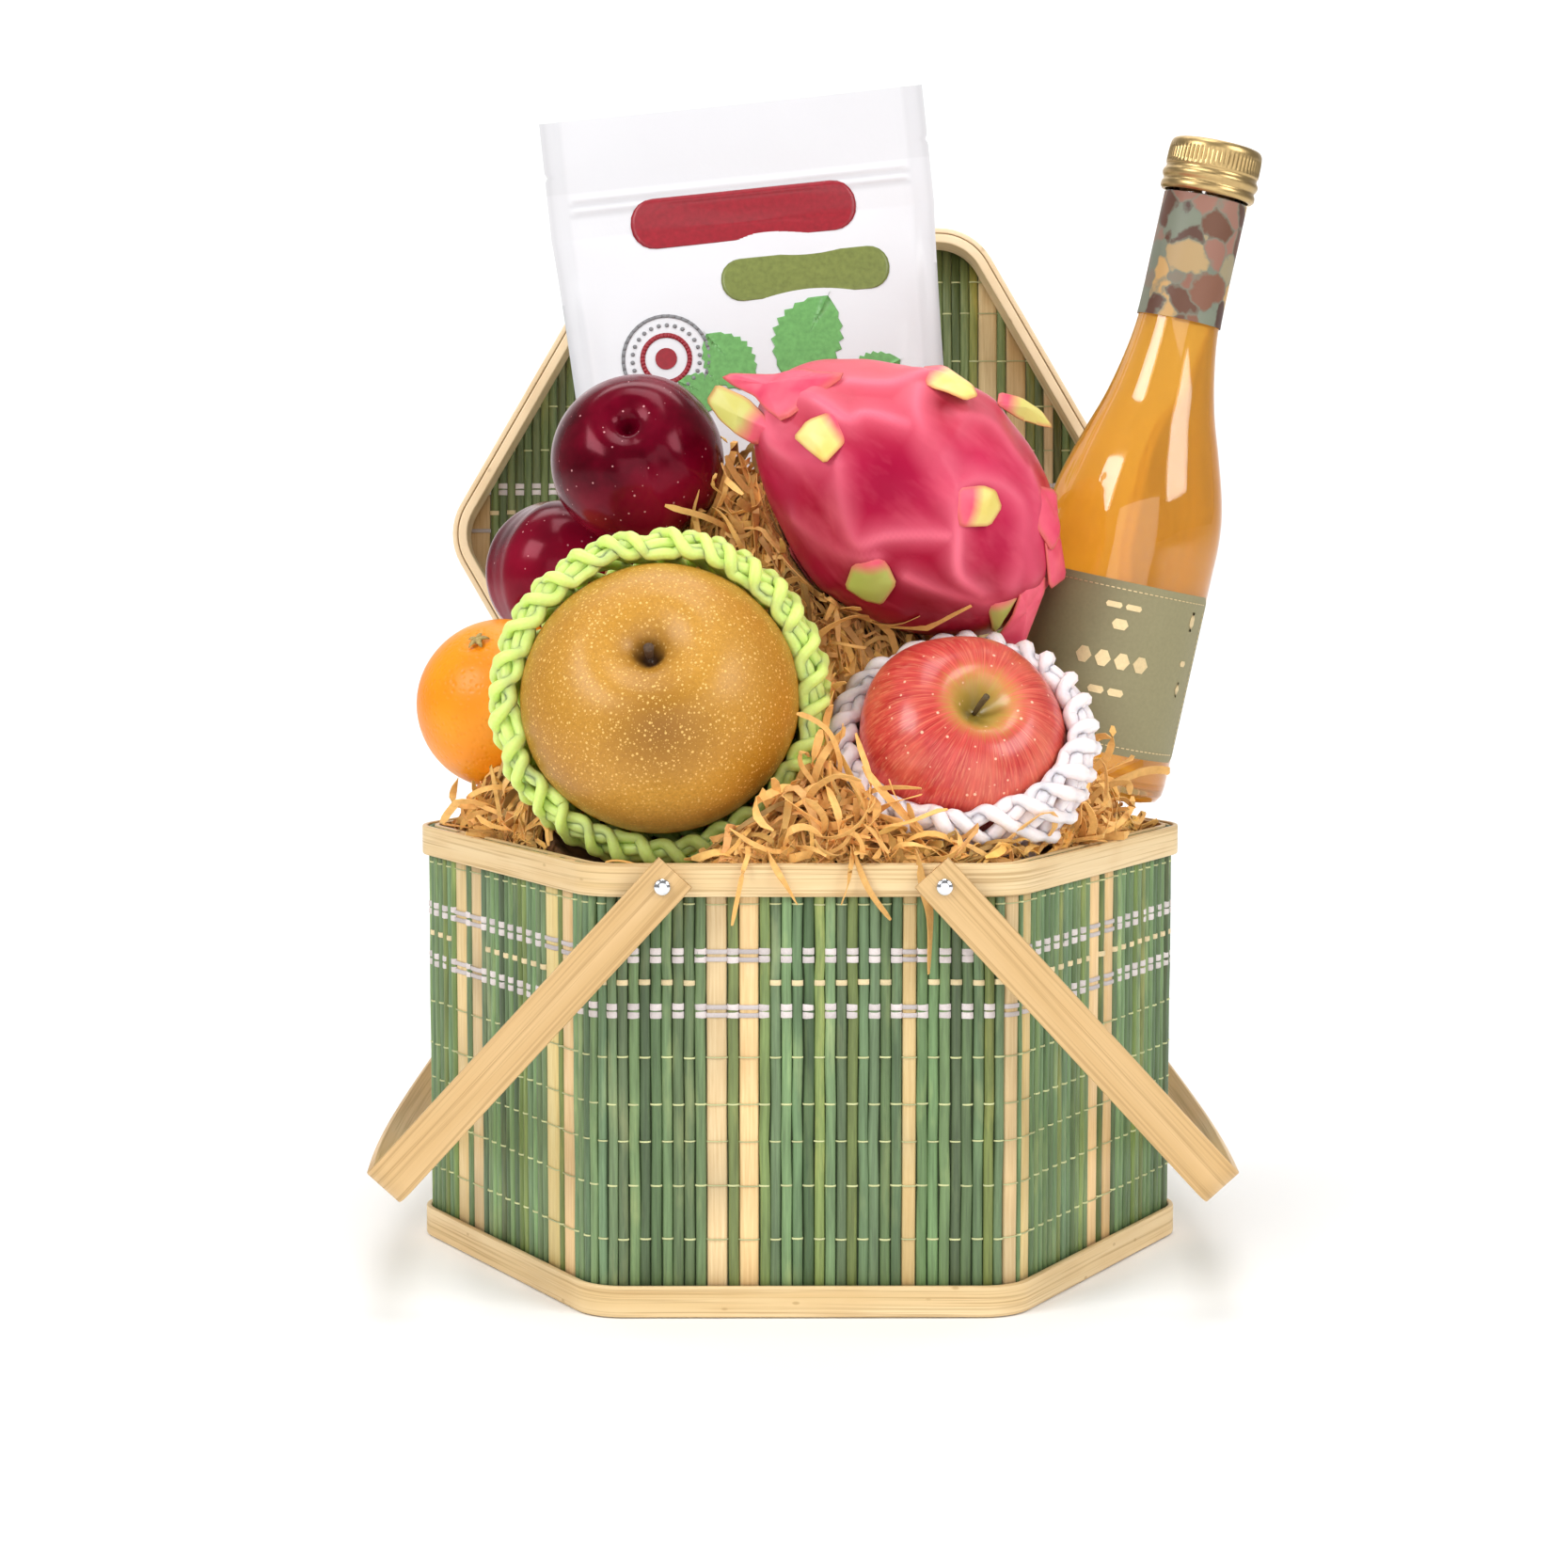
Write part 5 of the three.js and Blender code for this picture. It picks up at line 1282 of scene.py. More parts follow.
def ribbons(paths, width, thick, turn, twist):
    """Closed flat strips along many paths at once; turn and twist roll each about its line."""
    count, steps = paths.shape[:2]
    along = unit(np.gradient(paths, axis=1))
    side = unit(np.cross(along, (0.13, 0.21, 1.0)))
    up = np.cross(side, along)
    roll = turn[:, None] + twist[:, None] * np.linspace(0, 1, steps)[None, :]
    flat = side * np.cos(roll)[..., None] + up * np.sin(roll)[..., None]
    face = np.cross(along, flat)
    taper = np.interp(np.linspace(0, 1, steps), [0, 0.06, 0.94, 1], [0.45, 1, 1, 0.45])
    half = (width[:, None] * taper[None, :] / 2)[..., None]
    rise = (thick / 2 * np.ones((count, steps)))[..., None]
    ring = np.stack([paths - flat * half - face * rise, paths + flat * half - face * rise,
                     paths + flat * half + face * rise, paths - flat * half + face * rise], 2)
    return ring.reshape(count, -1, 3), tube_faces(steps, 4)


def strew(count, seed, balls, length, width, arch, pick):
    """Strips that lie over the shreds, curl, and are pushed off what rests there."""
    rand = rng(seed)
    steps = 12
    spots = rand.uniform(-0.128, 0.128, (count * 14, 2))
    ok = (hex_reach(spots[:, 0], spots[:, 1]) < BED_EDGE["reach"]) & pick(spots[:, 0], spots[:, 1])
    for at, radius in balls:
        deep = np.hypot(spots[:, 0] - at[0], spots[:, 1] - at[1]) < radius - 0.016
        ok &= ~(deep & (at[2] - radius < bed_top(spots[:, 0], spots[:, 1], []) + 0.01))
    spots = spots[ok][:count]
    count = len(spots)
    span = rand.uniform(*length, count)
    heading = rand.uniform(0, 2 * math.pi, count)
    curl = rand.normal(0, 2.8, count)
    paths = np.zeros((count, steps, 3))
    paths[:, 0, :2] = spots
    for j in range(1, steps):
        heading = heading + curl / steps + rand.normal(0, 0.22, count)
        step = (span / (steps - 1))[:, None] * np.stack([np.cos(heading), np.sin(heading)], -1)
        paths[:, j, :2] = paths[:, j - 1, :2] + step
    paths[:, :, :2] += (spots - paths[:, steps // 2, :2])[:, None]
    hold_in(paths, WALL_REACH)
    s = np.linspace(0, 1, steps)[None, :]
    top = bed_top(paths[..., 0], paths[..., 1], balls)
    top[:, 1:-1] = (top[:, :-2] + 2 * top[:, 1:-1] + top[:, 2:]) / 4
    arch = rand.gamma(1.8, arch, count)[:, None]
    arch = arch * np.sin(s * math.pi * rand.uniform(0.6, 1.3, count)[:, None])
    wave = rand.normal(0, 0.0014, count)[:, None] * np.sin(s * rand.uniform(6, 14, count)[:, None])
    paths[..., 2] = top + rand.uniform(-0.002, 0.004, count)[:, None] + arch + wave
    paths = push_off(paths, balls * 2, 0.0012)
    hold_in(paths, np.where(paths[..., 2] < RIM_LEVEL, WALL_REACH, np.inf))
    wide, roll = rand.uniform(*width, count), rand.uniform(0, math.pi, count)
    points, faces = ribbons(paths, wide, SHRED_THICK, roll, rand.normal(0, 2.6, count))
    soup = Soup()
    warm = np.array(chosen("shred"))
    for k in range(count):
        shade = rand.choice([1.0, 0.86, 0.62, 0.42], p=[0.42, 0.32, 0.18, 0.08]) * rand.uniform(0.9, 1.1)
        soup.add(points[k], faces, warm * shade * (1, rand.uniform(0.92, 1.06), rand.uniform(0.8, 1.1)))
    return soup


# Where curls of shreds stand up between the fruit: x, y, spread and share of them
CURL_SPOTS = ((-0.03, -0.024, 0.02, 0.26), (-0.004, -0.05, 0.02, 0.24), (0.008, -0.1, 0.017, 0.18),
              (0.108, -0.06, 0.016, 0.12), (-0.118, -0.04, 0.014, 0.06), (-0.055, 0.03, 0.018, 0.06),
              (0.03, -0.115, 0.03, 0.08))


def curls(count, seed, balls):
    """Free strips that stand out of the shreds and curl in every direction."""
    rand = rng(seed)
    picks = rand.choice(len(CURL_SPOTS), count, p=np.array([spot[3] for spot in CURL_SPOTS]))
    place = np.array(CURL_SPOTS)[picks]
    x = place[:, 0] + rand.normal(0, 0.6, count) * place[:, 2]
    y = place[:, 1] + rand.normal(0, 0.6, count) * place[:, 2]
    reach = np.minimum(1, 0.119 / np.maximum(hex_reach(x, y), 1e-6))
    x, y = x * reach, y * reach
    steps = 14
    heading = unit(rand.normal(0, 1, (count, 3)) + (0, -0.5, 0.6))
    axis = unit(rand.normal(0, 1, (count, 3)))
    turn = rand.uniform(1.5, 6.5, count)[:, None] / steps
    span = rand.uniform(0.02, 0.056, count)[:, None] / (steps - 1)
    paths = np.zeros((count, steps, 3))
    for j in range(1, steps):
        heading = unit(heading + np.cross(axis, heading) * turn + rand.normal(0, 0.05, (count, 3)))
        paths[:, j] = paths[:, j - 1] + heading * span
    foot = np.stack([x, y, bed_top(x, y, balls) + rand.uniform(-0.004, 0.006, count)], -1)
    paths += foot[:, None] - paths[:, 3:4] * rand.uniform(0, 1, (count, 1, 1))
    paths = push_off(paths, balls * 3, 0.0014)
    hold_in(paths, np.where(paths[..., 2] < RIM_LEVEL, WALL_REACH, CURL_REACH))
    wide, roll = rand.uniform(0.0014, 0.0033, count), rand.uniform(0, math.pi, count)
    points, faces = ribbons(paths, wide, SHRED_THICK, roll, rand.normal(0, 2.2, count))
    soup = Soup()
    warm = np.array(chosen("shred"))
    for k in range(count):
        soup.add(points[k], faces, warm * rand.uniform(0.82, 1.12))
    return soup


# Strips that hang over the front rim: where each passes in x and z, its width and its twist
HANGING = (
    (((-0.0196, 0.169), (-0.0226, 0.155), (-0.0252, 0.142)), 0.0018, 0.4),
    (((-0.012, 0.166), (-0.0064, 0.157), (-0.0021, 0.1495)), 0.0024, 2.4),
    (((0.0174, 0.168), (0.0157, 0.1565), (0.0134, 0.1495)), 0.002, 0.8),
    (((0.0183, 0.164), (0.0249, 0.152), (0.0309, 0.144)), 0.0022, 1.4),
    (((0.0404, 0.164), (0.0447, 0.145), (0.0444, 0.1246)), 0.0032, 0.7),
)


def make_shred(name):
    m = Look(name, 0.62, Specular_IOR_Level=0.3, Subsurface_Weight=0.12,
             Subsurface_Radius=(0.003, 0.0015, 0.0006))
    streak = m.noise(m.place(), 420, 3, 0.6)
    tone = m.blend(streak, (0.82, 0.78, 0.72), (1.0, 1.0, 1.0))
    m.set(Base_Color=m.tinted(tone))
    m.bump(streak, 0.25, 0.0002)
    return m


# The dark core under the strips, painted shade deep among them: how far below them its top lies, its bottom
# and its corners' reach
CORE = {"below": 0.007, "bottom": 0.0045, "corner": 0.1375}


def shred_core(balls):
    """A closed lump that fills the basket under the strips; it carries the painted shade deep among them."""
    rings, sectors = 44, 108
    a = circle(sectors)
    edge = np.minimum(WALL_REACH / hex_reach(np.cos(a), np.sin(a)), CORE["corner"])
    share = (np.arange(1, rings + 1) / rings)[:, None]
    x, y = share * edge * np.cos(a), share * edge * np.sin(a)
    ripple = np.array([noise(Vector((px, py, 0)) * 90) for px, py in zip(x.ravel(), y.ravel())])
    ripple = ripple.reshape(x.shape)
    top = np.stack([x, y, bed_top(x, y, balls) - CORE["below"] + 0.0018 * ripple], -1)
    low = np.stack([x[-1:], y[-1:], np.full((1, sectors), CORE["bottom"])], -1)
    middle = bed_top(np.array(0.0), np.array(0.0), balls) - CORE["below"]
    points = np.vstack([np.vstack([top, low]).reshape(-1, 3), [(0, 0, middle), (0, 0, CORE["bottom"])]])
    tip = (rings + 1) * sectors
    faces = grid_faces(rings + 1, sectors, wrap=True)
    faces += close_ends(sectors, tip, 0, tip + 1, rings * sectors)
    return Soup().add(points, faces)


def hanging_strips():
    """The strips that hang over the front rim and lie against its band."""
    soup = Soup()
    face = -BASKET["apothem"] - 0.0012
    warm = np.array(chosen("shred"))
    for k, (marks, wide, twist) in enumerate(HANGING):
        (x0, z0), (x1, z1), (x2, z2) = marks
        line = smooth_curve([(x0 * 0.9, -0.112, 0.168), (x0, -0.1235, 0.1688), (x0, -0.13, 0.1665),
                             (x0 * 0.5 + x1 * 0.5, face - 0.0012, (z0 + z1) / 2), (x1, face - 0.0014, z1),
                             (x2, face - 0.0002, z2)], 4)
        points, faces = ribbons(line[None], np.array([wide]), 0.0003, np.array([0.2 * k]), np.array([twist]))
        soup.add(points[0], faces, warm * (1.0 - 0.06 * k))
    return soup


def build_shreds():
    balls = keep_out()
    # Dark brown core: painted shade deep in the shreds
    shade_core_look = look("shred_core", make_plain, (0.3, 0.135, 0.05), 0.85, 0.0, 260, 0.7)
    grow_piece("shreds_core", shred_core(balls), shade_core_look, ["shreds"])
    shred_look = look("wood_shred", make_shred)
    count = sizes().shreds
    for name, seed, share, length, arch, pick in (
        ("shreds_front", 21, 1.0, (0.016, 0.05), 0.003, lambda x, y: y < -0.01),
        ("shreds_back", 22, 0.8, (0.016, 0.05), 0.003, lambda x, y: y > -0.02),
        ("shreds_loose", 23, 0.12, (0.026, 0.056), 0.005, lambda x, y: (y < 0.03) & (np.abs(x) < 0.115)),
    ):
        strips = strew(int(count * share), seed, balls, length, (0.0013, 0.0031), arch, pick)
        grow_piece(name, strips, shred_look, ["shreds"], sharp=60)
    standing = curls(int(count * 0.36), 31, balls)
    grow_piece("shreds_curls", standing, shred_look, ["shreds"], sharp=60)
    grow_piece("shreds_hanging", hanging_strips(), shred_look, sharp=60)


# Bottle: turned glass with its drink, a rolled metal cap and two paper labels

# Its side from the body over the shoulder to the neck, as (radius, z) pairs
SHOULDER = ((0.0345, 0.08), (0.0345, 0.092), (0.0345, 0.104), (0.0334, 0.115), (0.0308, 0.126),
            (0.0264, 0.14), (0.0218, 0.154), (0.0182, 0.17), (0.0162, 0.184), (0.0157, 0.198),
            (0.0157, 0.216), (0.0157, 0.2354))
# The glass below its side, round its mouth and inside its foot, and the drink's foot
HEEL = [(0, 0.0016), (0.024, 0.0012), (0.028, 0.0), (0.0326, 0.0015), (0.0341, 0.0042), (0.0345, 0.008)]
MOUTH = [(0.0142, 0.2365), (0.0142, 0.2546), (0.0116, 0.2546), (0.0116, 0.24)]
BORE_FOOT = [(0.031, 0.009), (0.028, 0.0072), (0.02, 0.0066), (0, 0.0065)]
DRINK_FOOT = [(0, 0.0064), (0.02, 0.0065), (0.0281, 0.0071), (0.0311, 0.0088)]
DRINK_LEVEL = 0.214
GLASS_THICK = 0.003
# The cap's outline from its skirt to its middle, and its inside
CAP_LINE = ((0.0176, 0.2362), (0.0184, 0.2372), (0.0184, 0.2388), (0.0178, 0.2402), (0.0186, 0.2418),
            (0.0187, 0.2432), (0.0179, 0.2446), (0.0178, 0.2456), (0.0182, 0.2466), (0.0182, 0.25),
            (0.0181, 0.2522), (0.0179, 0.2542), (0.0172, 0.2556), (0.016, 0.2563), (0.014, 0.2565),
            (0.009, 0.2563), (0.003, 0.2562))
CAP_INSIDE = np.array([(0.0165, 0.2362), (0.016, 0.255)])
# Labels: half the angle that each goes round, its low and high edge, and the paper's thickness
LABEL = {"half": 1.257, "low": 0.018, "high": 0.084, "corner": 0.003}
COLLAR = {"half": math.pi * 0.985, "low": 0.187, "high": 0.235}
PAPER = 0.0003
# Print on the label: how far it stands off the glass, and its thickness
INK_LIFT = 0.0007
INK = 0.0001
# Printed bars: middle as an angle, lower edge, width as an angle, height
LABEL_BARS = ((0.0, 0.0735, 0.44, 0.0022), (0.0, 0.0655, 0.22, 0.004), (0.0, 0.0505, 0.86, 0.0062),
              (0.0, 0.04, 0.44, 0.0028), (0.93, 0.07, 0.1, 0.0075), (0.93, 0.056, 0.13, 0.0022),
              (0.93, 0.044, 0.09, 0.0058))


def bottle_side(inset):
    """The bottle's side from its heel to under the cap, as (radius, z) pairs."""
    bend = smooth_curve(SHOULDER, 6)
    return [(BOTTLE["radius"] - inset, z) for z in (0.012, 0.03, 0.055)] + [(r - inset, z) for r, z in bend]


def bottle_radius(z):
    side = np.array(bottle_side(0.0))
    return np.interp(z, side[:, 1], side[:, 0])


def label_sheet(a0, a1, z0, z1, lift, thick, corner=0.0):
    """A closed patch of paper round the bottle between two angles from the front and two levels."""
    rows, cols = max(int((z1 - z0) / 0.0022), 2) + 1, max(int(abs(a1 - a0) / 0.05), 2) + 1
    z = np.linspace(z0, z1, rows)[:, None] + np.zeros((1, cols))
    a = np.linspace(a0, a1, cols)[None, :] + np.zeros((rows, 1))
    if corner:
        inset = np.maximum(corner - np.minimum(z - z0, z1 - z), 0)
        inset = corner - np.sqrt(np.maximum(corner ** 2 - inset ** 2, 0))
        middle, half = (a0 + a1) / 2, (a1 - a0) / 2
        a = middle + (a - middle) * (1 - inset / (bottle_radius(z) * half))
    layers = []
    for r in (bottle_radius(z) + lift, bottle_radius(z) + lift + thick):
        layers.append(np.stack([r * np.sin(a), -r * np.cos(a), z], -1))
    return layer_pair(*layers)


def layer_pair(inner, outer):
    """A closed sheet between two grids of points."""
    rows, cols = inner.shape[:2]
    points = np.vstack([inner.reshape(-1, 3), outer.reshape(-1, 3)])
    n = rows * cols
    faces = [face[::-1] for face in grid_faces(rows, cols)] + grid_faces(rows, cols, start=n)
    rim = [i for i in range(cols)] + [j * cols + cols - 1 for j in range(1, rows)]
    rim += [(rows - 1) * cols + i for i in range(cols - 2, -1, -1)]
    rim += [j * cols for j in range(rows - 2, 0, -1)]
    for i, j in zip(rim, rim[1:] + rim[:1]):
        faces.append((i, j, j + n, i + n))
    return points, faces


def cap_soup():
    """The cap: a rolled skirt with two beads, a ribbed band and a softly domed top."""
    sectors = 240
    line = smooth_curve(CAP_LINE, 4)
    a = circle(sectors)
    r, z = line[:, :1], line[:, 1:]
    band = np.clip((z - 0.2462) / 0.0008, 0, 1) * np.clip((0.2532 - z) / 0.001, 0, 1)
    r = r - 0.00042 * band * (0.5 + 0.5 * np.cos(a * 60)) ** 2
    outer = np.stack([r * np.cos(a), r * np.sin(a), z + 0 * a], -1).reshape(-1, 3)
    r, z = CAP_INSIDE[:, :1], CAP_INSIDE[:, 1:]
    inner = np.stack([r * np.cos(a), r * np.sin(a), z + 0 * a], -1).reshape(-1, 3)
    rows = len(line)
    points = np.vstack([outer, inner, [(0, 0, 0.2562), (0, 0, 0.255)]])
    faces = grid_faces(rows, sectors, wrap=True) + grid_faces(2, sectors, wrap=True, start=rows * sectors)
    for i in range(sectors):
        k = (i + 1) % sectors
        faces.append((i, k, rows * sectors + k, rows * sectors + i))
        faces.append(((rows - 1) * sectors + i, (rows - 1) * sectors + k, len(points) - 2))
        faces.append(((rows + 1) * sectors + i, (rows + 1) * sectors + k, len(points) - 1))
    return Soup().add(points, faces)


def label_print():
    """The label's print: fine lines round its edge and plain bars."""
    soup = Soup()
    for z in (0.0208, 0.0808):
        for a in np.arange(-1.13, 1.13, 0.062):
            soup.add(*label_sheet(a, a + 0.038, z, z + 0.0004, INK_LIFT, INK))
    for a in (-1.19, 1.178):
        for z in np.arange(0.024, 0.078, 0.0021):
            soup.add(*label_sheet(a, a + 0.012, z, z + 0.0013, INK_LIFT, INK))
    for a, z, wide, tall in LABEL_BARS:
        cells = max(round(wide / 0.22), 1)
        for k in range(cells):
            a0 = a - wide / 2 + wide * k / cells
            soup.add(*label_sheet(a0, a0 + wide / cells * 0.84, z, z + tall, INK_LIFT, INK, tall * 0.3))
    return soup


def make_glass(name):
    return Look(name, 0.06, Transmission_Weight=1.0, IOR=1.5, Specular_IOR_Level=0.4,
                Base_Color=(0.99, 0.98, 0.95, 1))


def make_drink(name):
    m = Look(name, 0.05, Transmission_Weight=0.55, IOR=1.34)
    height = m.node("SeparateXYZ", {0: m.place(bottle_frame())}).outputs[2]
    tone = m.mix(m.span(height, 0.09, 0.17), chosen("drink"), (0.82, 0.45, 0.06))
    # The glow is painted light that keeps the drink bright inside the glass
    m.set(Base_Color=tone, Emission_Color=(0.8, 0.36, 0.04, 1), Emission_Strength=0.18)
    return m


def make_neck_paper(name, matrix):
    m = Look(name, 0.5)
    plain = m.place(matrix)
    shift = m.node("TexNoise", {"Vector": plain, "Scale": 110, "Detail": 3}).outputs["Color"]
    bent = m.node("VectorMath", {0: shift, 1: (0.01, 0.01, 0.01)}, operation="MULTIPLY").outputs[0]
    place = m.node("VectorMath", {0: plain, 1: bent}, operation="ADD").outputs[0]
    cell = m.voronoi(place, 95, "Color")
    pick = m.node("SeparateColor", {0: cell}).outputs[0]
    tone = m.ramp(pick, (0.0, (0.07, 0.03, 0.02)), (0.3, (0.17, 0.065, 0.03)),
                  (0.48, (0.3, 0.14, 0.1)), (0.6, (0.15, 0.17, 0.12)), (0.8, (0.2, 0.22, 0.16)),
                  (0.92, (0.52, 0.31, 0.11)))
    vein = m.span(m.voronoi(place, 95, feature="DISTANCE_TO_EDGE"), 0.0, 0.09, 0.75, 0)
    tone = m.mix(vein, tone, (0.17, 0.185, 0.135))
    m.set(Base_Color=tone)
    return m


def build_bottle():
    matrix = bottle_frame()
    bore = bottle_side(GLASS_THICK)[::-1]
    glass = Soup().add(*lathe(HEEL + bottle_side(0.0) + MOUTH + bore + BORE_FOOT, 128)).moved(matrix)
    clear = look("clear_glass", make_glass)
    grow_piece("bottle_body", glass, clear, ["bottle_glass"], sharp=50)
    fill = DRINK_FOOT + [(r, z) for r, z in bottle_side(GLASS_THICK - 0.0001) if z < DRINK_LEVEL - 0.0001]
    points, faces = lathe(fill + [(0.0128, DRINK_LEVEL), (0, DRINK_LEVEL)], 96)
    level = points[:, 2] > DRINK_LEVEL - 0.0005
    points[level, 2] += points[level, 0] * math.tan(math.radians(BOTTLE["tilt"]))
    drink = Soup().add(points, faces).moved(matrix)
    amber = look("amber_drink", make_drink)
    grow_piece("bottle_drink_fill", drink, amber, ["bottle_drink"], sharp=50)
    gold = look("gold_cap", make_plain, chosen("cap"), 0.36, 1.0, 500, 0.08)
    cap = cap_soup().moved(matrix)
    grow_piece("bottle_cap_rolled", cap, gold, ["bottle_cap"], sharp=60)

    span = (-LABEL["half"], LABEL["half"], LABEL["low"], LABEL["high"])
    sheet = Soup().add(*label_sheet(*span, PAPER, PAPER, LABEL["corner"])).moved(matrix)
    paper = look("label_paper", make_plain, chosen("label"), 0.55, 0.0, 700, 0.1)
    grow_piece("bottle_label_sheet", sheet, paper, ["bottle_label"], sharp=50)
    ink = look("label_print", make_plain, (0.8, 0.62, 0.34), 0.35, 0.6, 900, 0.1)
    grow_piece("bottle_label_print", label_print().moved(matrix), ink, sharp=50)

    span = (-COLLAR["half"], COLLAR["half"], COLLAR["low"], COLLAR["high"])
    collar = Soup().add(*label_sheet(*span, PAPER, PAPER)).moved(matrix)
    marbled = look("neck_paper", make_neck_paper, matrix)
    grow_piece("neck_label_sheet", collar, marbled, ["neck_label"], sharp=50)


# Pouch: a filled film pouch with side seals, a press zip and tear notches

# Metres below its top: the zip's two ridges, the shade beside them and the tear notches
ZIP_RIDGES = (0.0326, 0.0373)
ZIP_SHADES = (0.035, 0.0395)
NOTCH = 0.0225
# Where across the pouch, from 0 in its middle to 1 at its side, the side seals begin
SEAL_EDGE = 0.895
# How far the print stands off the film on top, and below
PRINT_RISE = 0.00035
PRINT_FOOT = 0.00002
# Prints, in metres from its middle and below its top: two bars (x, down, width, height, corner)
RED_BAR = (0.0005, 0.046, 0.094, 0.021, 0.0098)
OLIVE_BAR = (0.0235, 0.0735, 0.07, 0.018, 0.0085)
# A round mark: its middle, the outer and inner radius of both rings, and that of its ring of dots
MARK_AT = (-0.0375, 0.103)
MARK_RINGS = ((0.0186, 0.0172), (0.0108, 0.0088))
MARK_DOTS = 0.014
# Leaves: x, down, length, width and turn
LEAVES = ((0.012, 0.116, 0.04, 0.03, 0.55), (-0.004, 0.118, 0.03, 0.022, -0.6),
          (-0.016, 0.124, 0.022, 0.017, -1.0), (0.036, 0.122, 0.026, 0.018, 1.2))


def pouch_frame():
    return (Matrix.Translation(POUCH["at"]) @ Matrix.Rotation(math.radians(POUCH["lean"]), 4, "X")
            @ Matrix.Rotation(math.radians(POUCH["tilt"]), 4, "Y"))


def pouch_swell(v):
    """How full the pouch is at height v, from 0 flat to 1."""
    bend = np.cos(np.maximum(v - 0.12, -0.12) / 0.66 * math.pi / 2)
    return np.where(v < 0.78, np.maximum(bend, 0) ** 0.8, 0)


def pouch_point(u, v, side, proud=0.0):
    """A point of the front (side -1) or back (side 1) face.

    u runs across from -1 to 1, and v up from 0 to 1."""
    swell = pouch_swell(v)
    across = POUCH["width"] - POUCH["waist"] * swell
    depth = POUCH["seal"] + (POUCH["thick"] - POUCH["seal"]) * swell * np.maximum(1 - u ** 2, 0) ** 0.75
    x, z = u * across / 2, v * POUCH["height"]
    foot = np.clip(v / 0.05, 0, 1)
    ease = np.clip((1 - np.abs(u)) / 0.09, 0, 1) * foot
    crease = 0.0007 * np.sin(z * 150 + x * 30) * np.exp(-((v - 0.8) / 0.1) ** 2) * np.cos(x * 35)
    pucker = np.exp(-(((np.abs(u) - 0.86) * 70) / 4) ** 2) * np.sin(z * 95)
    crease = crease + 0.001 * pucker * np.clip((0.9 - v) * 4, 0, 1)
    zip_line = sum(0.0007 * np.exp(-(((1 - v) * POUCH["height"] - d) / 0.0011) ** 2) for d in ZIP_RIDGES)
    seal_edge = 0.0005 * np.exp(-(((np.abs(u) - SEAL_EDGE) * POUCH["width"] / 2) / 0.0012) ** 2)
    y = depth / 2 + (crease + zip_line * (np.abs(u) < 0.88)) * ease + seal_edge * foot + proud
    wave = 0.0016 * np.sin(x * 28 + 1) * np.clip((v - 0.8) * 4, 0, 1) ** 2
    return np.stack([x, side * y + wave, z], -1)


def pouch_mark(x, down):
    """u and v of a mark at so many metres from the middle and below the pouch's top."""
    v = 1 - down / POUCH["height"]
    return x * 2 / (POUCH["width"] - POUCH["waist"] * pouch_swell(v)), v


def pouch_print(outline, cells=22):
    """A thin printed patch on the front: a fan from the middle of an outline of (x, down) marks."""
    outline = np.asarray(outline, float)
    middle = outline.mean(0)
    rings = []
    for s in np.linspace(0.02, 1, cells):
        ring = middle + (outline - middle) * s
        rings.append(pouch_point(*pouch_mark(ring[:, 0], ring[:, 1]), -1, PRINT_RISE))
    points = np.vstack(rings)
    low = pouch_point(*pouch_mark(outline[:, 0], outline[:, 1]), -1, PRINT_FOOT)
    count = len(outline)
    faces = grid_faces(cells + 1, count, wrap=True) + [tuple(range(count))]
    return np.vstack([points, low]), faces


def pill(x, down, wide, tall, corner):
    """Outline of a rounded bar about its middle."""
    return rounded(x - wide / 2, x + wide / 2, down - tall / 2, down + tall / 2, corner, 5)


def leaf(x, down, long, wide, turn, teeth=9):
    """A serrated leaf outline standing on (x, down), turned from upright by an angle."""
    right, left = [], []
    for k in range(teeth * 2 + 1):
        s = k / (teeth * 2)
        half = wide / 2 * math.sin(math.pi * min(s * 1.02 + 0.04, 1)) ** 0.7 * (1.0 if k % 2 else 0.86)
        right.append((half, s * long))
        left.append((-half, s * long))
    c, s = math.cos(turn), math.sin(turn)
    return [(x + px * c + py * s, down - py * c + px * s) for px, py in right + left[::-1]]


def make_film(name):
    m = Look(name, 0.34, Specular_IOR_Level=0.45, Coat_Weight=0.15, Coat_Roughness=0.3)
    place = m.place(pouch_frame())
    crinkle = m.noise(place, 55, 4, 0.6)
    cloud = m.noise(place, 14, 2)
    white = chosen("pouch")
    tone = m.blend(cloud, tuple(c * 0.965 for c in white), white)
    m.set(Base_Color=m.tinted(tone))
    m.bump(crinkle, 0.25, 0.0012)
    return m


def pouch_film():
    """The pouch's two faces, notched at the sides, with painted shade at its seals, side edges, top band and
    beside its zip.
    """
    us = np.concatenate([np.linspace(-1, -0.84, 9), np.linspace(-0.84, 0.84, 61)[1:-1],
                         np.linspace(0.84, 1, 9)])
    u, v = np.meshgrid(us, np.linspace(0, 1, 320))
    down = (1 - v) * POUCH["height"]
    notch = np.exp(-((down - NOTCH) / 0.0012) ** 2) * 0.012
    faces = [pouch_point(u * (1 - notch * (np.abs(u) > 0.9)), v, side) for side in (-1, 1)]
    shade = 1 - 0.07 * (np.abs(u) > SEAL_EDGE) - 0.05 * (down < 0.03)
    shade = shade - 0.1 * np.exp(-((np.abs(u) - 0.985) / 0.02) ** 2)
    for level in ZIP_SHADES:
        shade = shade - 0.14 * np.exp(-((down - level) / 0.0011) ** 2) * (np.abs(u) < 0.9)
    tints = np.tile(shade.reshape(-1, 1), (2, 3)) * (1, 1, 1.01)
    return Soup().add(*layer_pair(*faces), tints)


